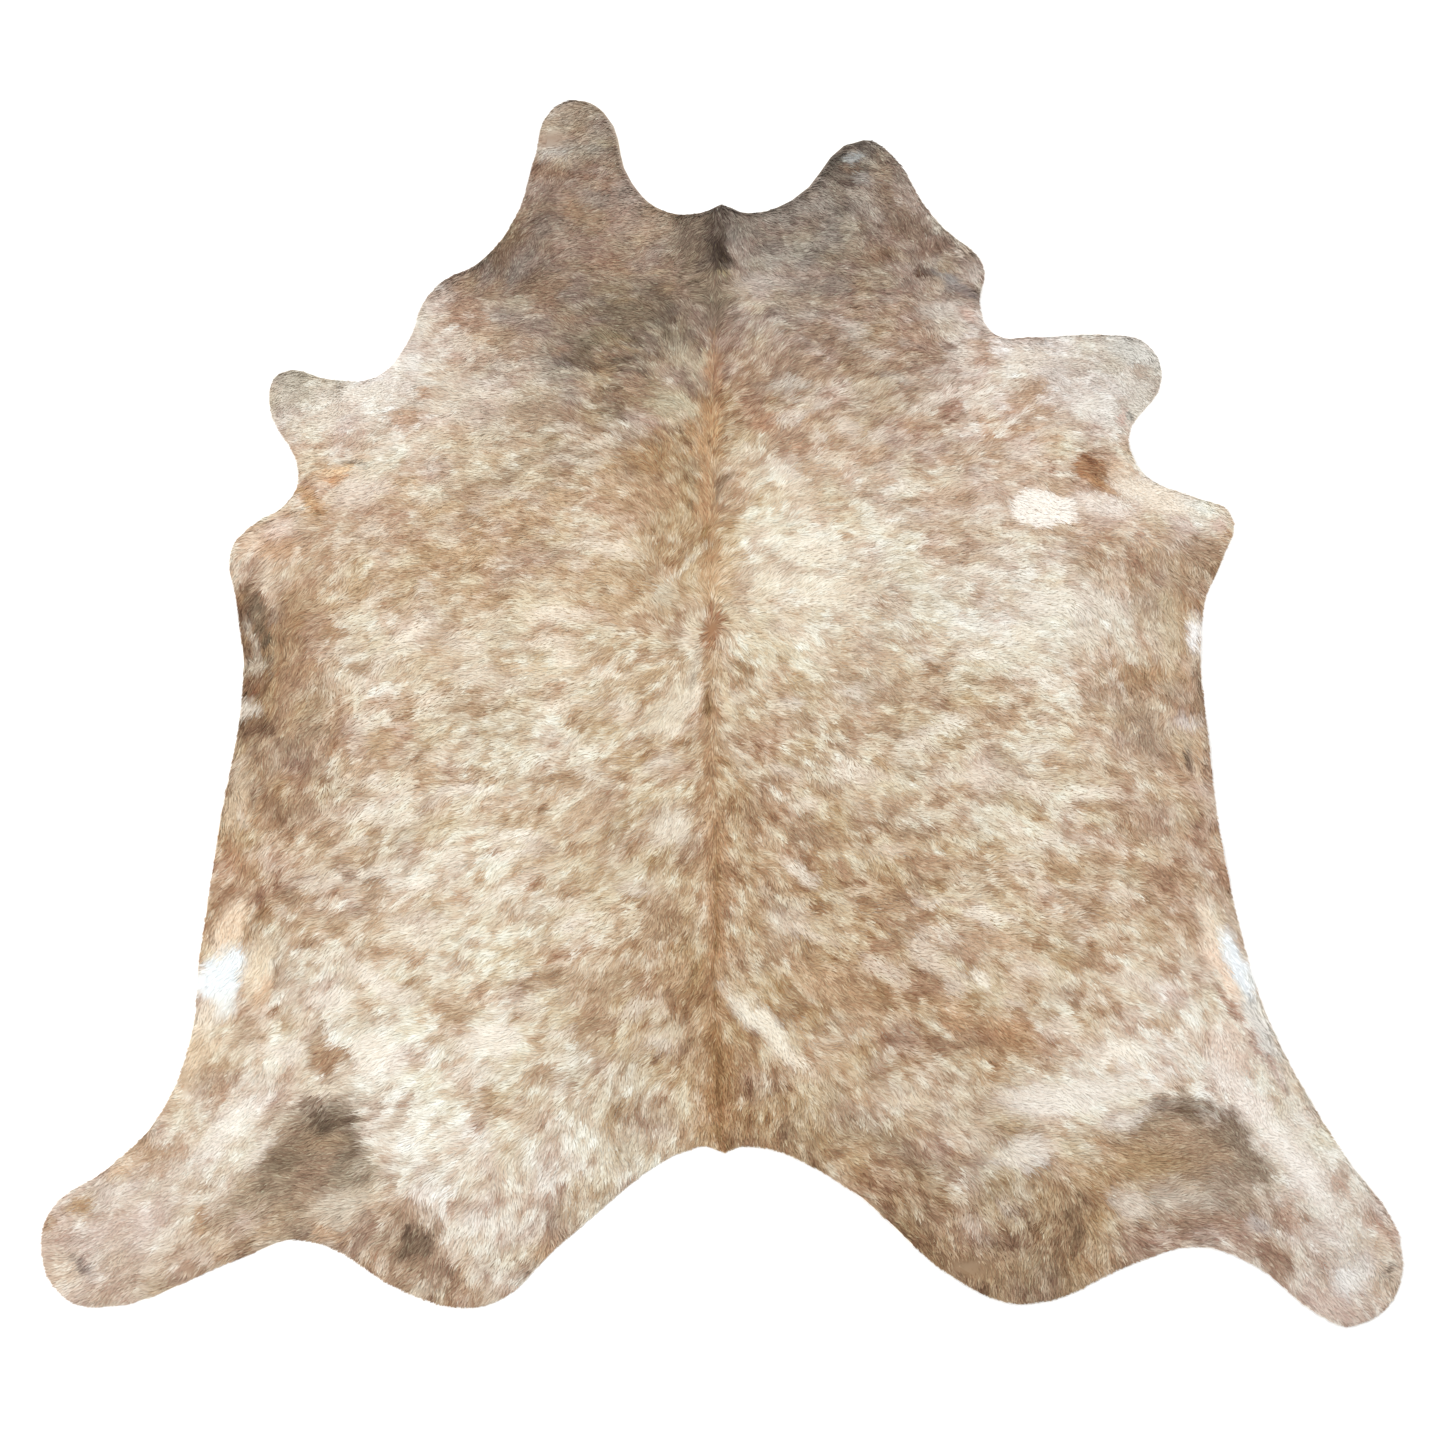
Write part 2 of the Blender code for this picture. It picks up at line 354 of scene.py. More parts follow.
# The colours of the coat
# A roan brindle: white, cream and brown hairs mixed lock by lock, with the brown gathered in ragged blots
# that run with the hair. The neck and the hocks have darker, greyer hair, and the groins hardly any. The
# first places and values were read as seen from straight above. Most tones, and many of the places,
# shares, colours and contrasts, were then set from measured differences between renders and the photograph.

# Each kind of hair from its palest, tone 0, to its brownest, tone 1, in even steps
GOLDEN_COAT = ("#F5F4EC", "#EAE5D6", "#DACBB3", "#C4AA8A", "#AA8861", "#87643F")
RED_COAT = ("#F6F2EE", "#EADFD6", "#D8C1B2", "#C09E89", "#A27B62", "#80573F")
GREY_COAT = ("#F2F0EE", "#E1DBD5", "#C7BDB3", "#A79B90", "#84776C", "#594E45")

# The mix of hair over the body: place, x, y in millimetres, tone, and the shares of grey and of red hair.
# The rest is golden. Each place's mix fades over about MIX_REACH metres into those round it.
# Tones are partly painted light and shade: the broad light and shade over the hide's low relief is in them.
COAT_MIX = (
    ("left neck lobe", -270, 1050, 0.55, 0.6, 0.0),
    ("left neck, outer", -270, 900, 0.81, 0.55, 0.4),
    ("left neck edge", -350, 770, 0.81, 0.65, 0.3),
    ("left neck", -200, 800, 0.68, 0.5, 0.45),
    ("left neck, inner", -80, 780, 0.74, 0.65, 0.15),
    ("left neck crease", -180, 700, 0.76, 0.6, 0.25),
    ("right neck, inner", 100, 820, 0.8, 0.95, 0.05),
    ("right neck", 200, 750, 0.69, 0.95, 0.05),
    ("right neck low", 100, 670, 0.58, 0.8, 0.15),
    ("right neck, outer", 330, 830, 0.72, 0.6, 0.4),
    ("right neck edge", 380, 900, 0.5, 0.8, 0.2),
    ("right lobe root", 220, 920, 0.7, 0.85, 0.15),
    ("right neck lobe", 280, 980, 0.84, 0.98, 0.0),
    ("right cheek", 400, 680, 0.74, 0.8, 0.15),
    ("right under the neck", 250, 620, 0.78, 0.6, 0.38),
    ("left withers", -150, 620, 1.0, 0.85, 0.0),
    ("left withers, outer", -230, 550, 1.0, 0.75, 0.0),
    ("left withers, low", -120, 510, 0.93, 0.7, 0.0),
    ("left blade", -260, 470, 0.77, 0.6, 0.0),
    ("left shoulder top", -350, 620, 0.77, 0.65, 0.3),
    ("left shoulder", -470, 550, 0.46, 0.45, 0.4),
    ("left shoulder side", -400, 500, 0.53, 0.4, 0.25),
    ("left foreleg", -620, 440, 0.07, 0.3, 0.35),
    ("left foreleg tip", -740, 460, 0.5, 0.6, 0.05),
    ("left blade, low", -300, 400, 0.64, 0.5, 0.0),
    ("left shoulder low", -450, 380, 0.32, 0.35, 0.15),
    ("left elbow front", -620, 330, 0.32, 0.15, 0.35),
    ("right withers", 40, 600, 0.74, 0.7, 0.25),
    ("right withers, outer", 140, 530, 0.76, 0.45, 0.3),
    ("right withers, low", 60, 470, 0.64, 0.35, 0.35),
    ("right blade", 200, 450, 0.62, 0.5, 0.38),
    ("right shoulder top", 320, 520, 0.86, 0.4, 0.5),
    ("right shoulder front", 380, 580, 0.58, 0.5, 0.45),
    ("right shoulder", 420, 450, 0.27, 0.35, 0.45),
    ("right foreleg root", 520, 500, 0.12, 0.65, 0.28),
    ("right foreleg", 640, 480, 0.32, 0.7, 0.2),
    ("right foreleg tip", 740, 510, 0.42, 0.75, 0.1),
    ("right foreleg back", 660, 420, 0.26, 0.7, 0.15),
    ("right shoulder low", 500, 370, 0.46, 0.1, 0.45),
    ("right armpit", 620, 340, 0.6, 0.0, 0.25),
    ("left of the spine, shoulders", -80, 340, 0.86, 0.32, 0.0),
    ("left of the spine, withers", -110, 420, 0.56, 0.42, 0.0),
    ("left ribs front", -420, 290, 0.66, 0.3, 0.05),
    ("left ribs high", -220, 290, 0.57, 0.32, 0.0),
    ("left ribs", -350, 170, 0.6, 0.1, 0.15),
    ("left ribs low", -520, 200, 0.54, 0.1, 0.25),
    ("left back", -180, 200, 0.47, 0.0, 0.0),
    ("left elbow", -700, 220, 0.55, 0.0, 0.3),
    ("left elbow back", -750, 150, 0.47, 0.0, 0.35),
    ("left belly front", -660, 100, 0.52, 0.0, 0.25),
    ("left side high", -300, 40, 0.52, 0.05, 0.0),
    ("left loin", -120, 40, 0.58, 0.0, 0.0),
    ("left side", -480, 20, 0.42, 0.12, 0.05),
    ("left side low", -570, -80, 0.32, 0.1, 0.0),
    ("left belly", -710, -30, 1.0, 0.1, 0.3),
    ("left belly back", -700, -250, 0.8, 0.25, 0.25),
    ("left flank low", -620, -220, 0.5, 0.3, 0.15),
    ("left flank high", -380, -150, 0.49, 0.15, 0.0),
    ("left loin back", -150, -140, 0.56, 0.0, 0.0),
    ("right of the spine, shoulders", 50, 380, 0.8, 0.2, 0.3),
    ("right ribs high", 140, 340, 0.38, 0.2, 0.2),
    ("right ribs front", 300, 310, 0.52, 0.32, 0.3),
    ("right ribs, outer front", 450, 280, 0.33, 0.25, 0.3),
    ("right back", 100, 160, 0.45, 0.0, 0.0),
    ("right ribs", 250, 200, 0.27, 0.22, 0.05),
    ("right ribs low", 400, 120, 0.45, 0.2, 0.15),
    ("right elbow", 720, 250, 0.14, 0.1, 0.2),
    ("right elbow back", 740, 140, 0.66, 0.15, 0.3),
    ("right belly front", 640, 140, 0.55, 0.1, 0.35),
    ("right side low", 600, 30, 0.29, 0.3, 0.05),
    ("right side", 480, 10, 0.23, 0.35, 0.05),
    ("right loin", 220, 20, 0.36, 0.25, 0.0),
    ("right belly", 720, 0, 0.73, 0.15, 0.05),
    ("right belly back", 690, -170, 0.7, 0.1, 0.2),
    ("right flank high", 280, -120, 0.5, 0.2, 0.0),
    ("right loin back", 120, -170, 0.57, 0.05, 0.0),
    ("right flank", 450, -120, 0.55, 0.05, 0.1),
    ("right flank low", 580, -120, 0.37, 0.05, 0.05),
    ("left hip high", -330, -320, 0.48, 0.0, 0.0),
    ("left hip front", -500, -330, 0.42, 0.12, 0.05),
    ("left croup high", -200, -360, 0.54, 0.0, 0.0),
    ("left croup", -140, -520, 0.38, 0.0, 0.0),
    ("left hip", -340, -550, 0.33, 0.0, 0.05),
    ("left thigh front", -520, -500, 0.52, 0.05, 0.2),
    ("left stifle", -620, -470, 0.52, 0.2, 0.25),
    ("left groin front", -740, -430, 0.62, 0.05, 0.2),
    ("left groin back", -720, -680, 0.52, 0.05, 0.2),
    ("left thigh", -480, -700, 0.24, 0.2, 0.0),
    ("left thigh back", -620, -680, 0.26, 0.15, 0.05),
    ("left rump", -280, -740, 0.46, 0.2, 0.0),
    ("left of the tail", -130, -740, 0.6, 0.0, 0.0),
    ("left rump low", -440, -860, 0.3, 0.28, 0.0),
    ("left rump edge", -280, -970, 0.48, 0.3, 0.3),
    ("left rump corner", -440, -1000, 0.74, 0.3, 0.2),
    ("left shank", -760, -780, 0.52, 0.1, 0.1),
    ("left shank inner", -710, -860, 0.3, 0.15, 0.2),
    ("left hind foot", -870, -980, 0.4, 0.3, 0.4),
    ("left foot, inner", -770, -1020, 0.66, 0.35, 0.25),
    ("right hip high", 340, -300, 0.4, 0.22, 0.0),
    ("right flank back", 500, -260, 0.54, 0.05, 0.05),
    ("right croup high", 180, -340, 0.52, 0.0, 0.0),
    ("right hip front", 420, -430, 0.48, 0.0, 0.0),
    ("right stifle front", 580, -400, 0.5, 0.0, 0.1),
    ("right stifle", 680, -460, 0.6, 0.05, 0.35),
    ("right groin front", 740, -360, 0.67, 0.15, 0.35),
    ("right croup", 140, -520, 0.68, 0.0, 0.0),
    ("right hip", 300, -530, 0.6, 0.0, 0.05),
    ("right thigh front", 480, -570, 0.62, 0.0, 0.0),
    ("right thigh brown", 400, -680, 0.78, 0.0, 0.15),
    ("right thigh", 620, -560, 0.62, 0.05, 0.3),
    ("right thigh back", 660, -680, 0.36, 0.05, 0.3),
    ("right thigh fold", 740, -700, 0.36, 0.05, 0.4),
    ("right rump high", 160, -670, 0.68, 0.1, 0.05),
    ("right rump", 280, -760, 0.54, 0.28, 0.05),
    ("right rump, outer", 500, -780, 0.24, 0.42, 0.05),
    ("right rump side", 380, -860, 0.64, 0.35, 0.15),
    ("right rump low", 240, -890, 0.72, 0.15, 0.05),
    ("right rump edge", 400, -1000, 0.88, 0.42, 0.05),
    ("right hock side", 560, -910, 0.7, 0.05, 0.1),
    ("right hock low", 700, -970, 0.5, 0.45, 0.35),
    ("right shank", 830, -870, 0.2, 0.3, 0.25),
    ("right hind foot", 890, -1020, 0.5, 0.4, 0.5),
    ("right shoulder crease", 300, 650, 0.84, 0.5, 0.4),
    ("right shoulder rim", 460, 560, 0.26, 0.5, 0.35),
    ("left shoulder foot", -470, 460, 0.42, 0.35, 0.3),
    ("spine at the ribs", -40, 220, 0.84, 0.0, 0.0),
    ("spine at the shoulders", -20, 340, 0.84, 0.2, 0.0),
    ("left ribs, behind", -450, 100, 0.64, 0.17, 0.15),
    ("left belly, middle", -730, -130, 1.0, 0.18, 0.2),
    ("left of the tail root", -150, -840, 0.37, 0.28, 0.0),
    ("left hock", -600, -870, 0.72, 0.6, 0.0),
    ("left hock low", -660, -950, 0.7, 0.45, 0.1),
    ("left foot end", -900, -1050, 0.46, 0.3, 0.4),
    ("right of the whorl", 90, 20, 0.25, 0.0, 0.0),
    ("right croup, above", 120, -280, 0.33, 0.2, 0.0),
    ("right hip brown", 340, -400, 0.78, 0.0, 0.1),
    ("right rump beside the tail", 170, -820, 0.8, 0.15, 0.05),
    ("spine at the croup", -10, -380, 0.62, 0.0, 0.0),
    ("right shoulder, inner", 150, 610, 0.56, 0.5, 0.3),
    ("right cheek rim", 450, 730, 0.28, 0.5, 0.35),
    ("left of the whorl", -70, 70, 0.74, 0.08, 0.0),
    ("left side edge", -620, -30, 0.2, 0.05, 0.1),
    ("left side edge, low", -610, -160, 0.3, 0.1, 0.1),
    ("left belly rim", -770, -30, 1.0, 0.2, 0.2),
    ("left flank", -510, -270, 0.75, 0.12, 0.05),
    ("left loin, low", -220, -240, 0.38, 0.0, 0.0),
    ("left back, behind", -200, -30, 0.42, 0.0, 0.0),
    ("spine at the loins", 0, -250, 0.66, 0.0, 0.0),
    ("left hip, middle", -460, -400, 0.33, 0.08, 0.05),
    ("left thigh, middle", -500, -580, 0.62, 0.05, 0.1),
    ("left croup, middle", -220, -430, 0.74, 0.0, 0.0),
    ("left of the spine, croup", -50, -580, 0.82, 0.0, 0.0),
    ("left of the spine, tail", -60, -760, 0.62, 0.0, 0.0),
    ("left rump, middle", -380, -800, 0.48, 0.12, 0.05),
    ("left rump, low middle", -400, -940, 0.22, 0.25, 0.15),
    ("left shank, low", -790, -940, 0.14, 0.3, 0.2),
    ("right shoulder, middle", 300, 400, 0.7, 0.25, 0.4),
    ("right ribs, near front", 220, 330, 0.61, 0.15, 0.3),
    ("right of the spine, ribs", 80, 270, 0.26, 0.05, 0.0),
    ("right shoulder foot", 440, 390, 0.68, 0.2, 0.5),
    ("right of the spine, croup", 60, -370, 0.72, 0.0, 0.0),
    ("right croup, middle", 200, -460, 0.7, 0.0, 0.0),
    ("right hip, low", 360, -590, 0.48, 0.15, 0.0),
    ("right rump, middle", 270, -820, 0.48, 0.28, 0.05),
    ("right rump, brown", 410, -750, 0.7, 0.15, 0.05),
    ("right rump edge, pale", 380, -930, 0.58, 0.25, 0.1),
    ("right hock end", 760, -970, 0.79, 0.4, 0.3),
    ("right foot, top", 860, -960, 0.16, 0.35, 0.4),
    ("right rump corner", 540, -990, 0.89, 0.18, 0.1),
    ("right cheek, inner", 340, 700, 0.84, 0.6, 0.3),
    ("left blade, outer", -300, 580, 0.62, 0.6, 0.1),
    ("left armpit", -660, 260, 0.58, 0.05, 0.3),
    ("right of the whorl, ahead", 60, 90, 0.28, 0.0, 0.0),
    ("right flank, back low", 420, -300, 0.31, 0.25, 0.0),
    ("right flank, edge", 620, -300, 0.38, 0.0, 0.05),
    ("left hip, near", -300, -470, 0.34, 0.0, 0.0),
    ("right of the spine, croup low", 50, -550, 0.52, 0.0, 0.0),
    ("right of the tail", 60, -800, 0.7, 0.05, 0.0),
    ("left rump, inner low", -270, -870, 0.28, 0.28, 0.05),
    ("left hock edge", -690, -990, 0.8, 0.3, 0.2),
    ("right hip, middle low", 250, -640, 0.74, 0.0, 0.0),
    ("right rump edge, inner", 310, -960, 0.88, 0.15, 0.1),
    ("right thigh, low", 500, -710, 0.35, 0.0, 0.05),
    ("right shank, inner", 780, -830, 0.1, 0.1, 0.2),
    ("right shank rim", 860, -800, 0.62, 0.2, 0.3),
    ("right loin, low", 250, -270, 0.6, 0.2, 0.0),
    ("right loin, outer", 380, -210, 0.57, 0.2, 0.0),
    ("right belly, low", 700, -280, 0.66, 0.15, 0.3),
    ("right belly, inner", 660, -10, 0.39, 0.05, 0.1),
    ("left rump rim", -170, -930, 0.55, 0.28, 0.05),
    ("right hock rim", 620, -1000, 0.48, 0.3, 0.35),
    ("left ribs, middle low", -460, 160, 0.7, 0.1, 0.25),
    ("left ribs, outer front", -520, 310, 0.42, 0.2, 0.15),
    ("left ribs, upper", -300, 220, 0.69, 0.05, 0.1),
    ("left neck edge, high", -340, 900, 0.68, 0.5, 0.45),
    ("spine behind the whorl", 30, -80, 0.52, 0.0, 0.0),
    ("right stifle, inner", 600, -490, 0.4, 0.0, 0.15),
    ("left croup, low", -230, -620, 0.5, 0.0, 0.05),
    ("left shank, outer", -830, -860, 0.5, 0.05, 0.35),
    ("left side, front edge", -620, 60, 0.64, 0.0, 0.15),
    ("left ribs, middle", -290, 130, 0.46, 0.1, 0.05),
)
MIX_REACH = 0.060
LEAST_WEIGHT = 1e-7

# Patches of browner (+) and paler (-) hair: place, x, y, half length and half width in millimetres,
# degrees, change of tone. Their soft edge is TONE_EDGE millimetres wide.
TONE_PATCHES = (
    # neck and shoulders
    ("left withers, third", -300, 660, 30, 20, 10, 0.1),
    ("left neck brown", -340, 690, 30, 30, 60, 0.14),
    ("left neck red patch", -280, 830, 50, 40, 20, 0.06),
    ("right neck brown", 310, 850, 50, 30, 300, 0.1),
    ("right cheek brown", 400, 760, 30, 20, 300, 0.14),
    ("right cheek low", 440, 660, 30, 15, 340, 0.14),
    ("left shoulder rim", -530, 620, 30, 20, 60, -0.16),
    ("left neck rise", -165, 890, 18, 35, 20, -0.16),
    ("right lobe", 250, 950, 26, 26, 0, 0.12),
    ("left of the spine at the neck", -50, 600, 25, 20, 120, -0.1),
    ("left withers, pale", -100, 498, 26, 15, 130, -0.3),
    ("left withers, brown", -240, 515, 40, 24, 15, 0.14),
    ("left blade, pale", -128, 390, 26, 20, 60, -0.24),
    ("left shoulder, pale", -320, 470, 35, 25, 20, -0.12),
    ("right blade, pale", 210, 460, 22, 30, 0, -0.17),
    ("right blade, pale low", 362, 348, 26, 20, 20, -0.14),
    ("left foreleg bar", -550, 410, 35, 12, 5, 0.18),
    ("right foreleg tip", 740, 500, 20, 12, 310, 0.18),
    # left side
    ("left loin brown", -150, -250, 40, 18, 30, 0.12),
    ("left loin grey", -60, -220, 30, 15, 60, 0.1),
    ("left flank cream near", -220, -240, 40, 20, 25, -0.12),
    ("left of the spine, cream", -60, -340, 30, 15, 70, -0.14),
    ("left flank brown", -250, -280, 40, 20, 25, 0.1),
    ("left side spot high", -640, -20, 20, 15, 40, 0.12),
    ("left flank cream", -530, -300, 50, 30, 30, -0.14),
    ("left flank grey-brown", -660, -200, 70, 50, 60, 0.1),
    ("left flank cream outer", -420, -230, 36, 26, 0, -0.21),
    ("left flank cream low", -600, -335, 30, 26, 40, -0.22),
    ("spine, cream band", -5, -190, 40, 16, 5, -0.15),
    ("spine, brown band", 0, -255, 40, 18, 5, 0.13),
    # right side
    ("right loin cream", 200, -270, 40, 20, 330, -0.12),
    ("right flank brown, outer", 650, -85, 40, 15, 320, 0.12),
    ("right ribs brown", 402, 208, 28, 22, 10, 0.18),
    ("right flank cream", 580, -235, 24, 26, 40, -0.2),
    ("right flank cream high", 650, 0, 34, 22, 30, -0.16),
    ("right flank ochre low", 600, -350, 40, 20, 325, 0.1),
    ("right loin cream low", 302, -355, 30, 20, 20, -0.26),
    # left hind quarter
    ("left croup streak", -70, -500, 30, 10, 60, 0.12),
    ("left tail low", -140, -810, 30, 14, 50, 0.12),
    ("left of the spine, pale", -55, -460, 30, 10, 70, -0.12),
    ("left tail cream", -200, -850, 30, 15, 60, -0.12),
    ("left rump drop", -410, -655, 20, 12, 30, 0.14),
    ("left rump brown", -355, -800, 35, 18, 80, 0.18),
    ("left rump broad cream", -430, -800, 90, 60, 30, -0.1),
    ("left shank band", -720, -830, 80, 30, 45, -0.14),
    ("left shank spot", -750, -830, 20, 12, 40, 0.18),
    ("left foot second spot", -860, -910, 22, 14, 30, 0.2),
    ("left foot low", -860, -1060, 25, 14, 30, 0.14),
    ("left shank low spot", -745, -970, 20, 15, 30, 0.18),
    ("left hock spot", -500, -950, 20, 15, 60, 0.1),
    ("left rump cream", -420, -935, 24, 36, 20, -0.2),
    ("left groin brown low", -700, -475, 25, 18, 60, 0.2),
    # right hind quarter
    ("right tail spot", 50, -800, 30, 22, 285, 0.12),
    ("right rump cream", 290, -805, 32, 24, 20, -0.14),
    ("right rump cream low", 362, -915, 30, 24, 20, -0.18),
    ("right thigh cream", 640, -640, 36, 28, 10, -0.15),
    ("right rump spot low", 200, -890, 30, 18, 310, 0.12),
    ("right thigh fourth", 670, -740, 22, 15, 320, 0.16),
    ("right rump pale", 360, -860, 30, 20, 330, -0.14),
    ("right rump pale low", 360, -970, 25, 20, 300, -0.14),
    ("right hock pale", 600, -950, 30, 20, 0, -0.14),
    ("right rump brown edge", 410, -940, 25, 20, 300, 0.16),
    ("right foot third", 820, -970, 20, 18, 300, 0.24),
    ("right foot fourth", 790, -1010, 20, 15, 300, 0.2),
)
TONE_EDGE = 12

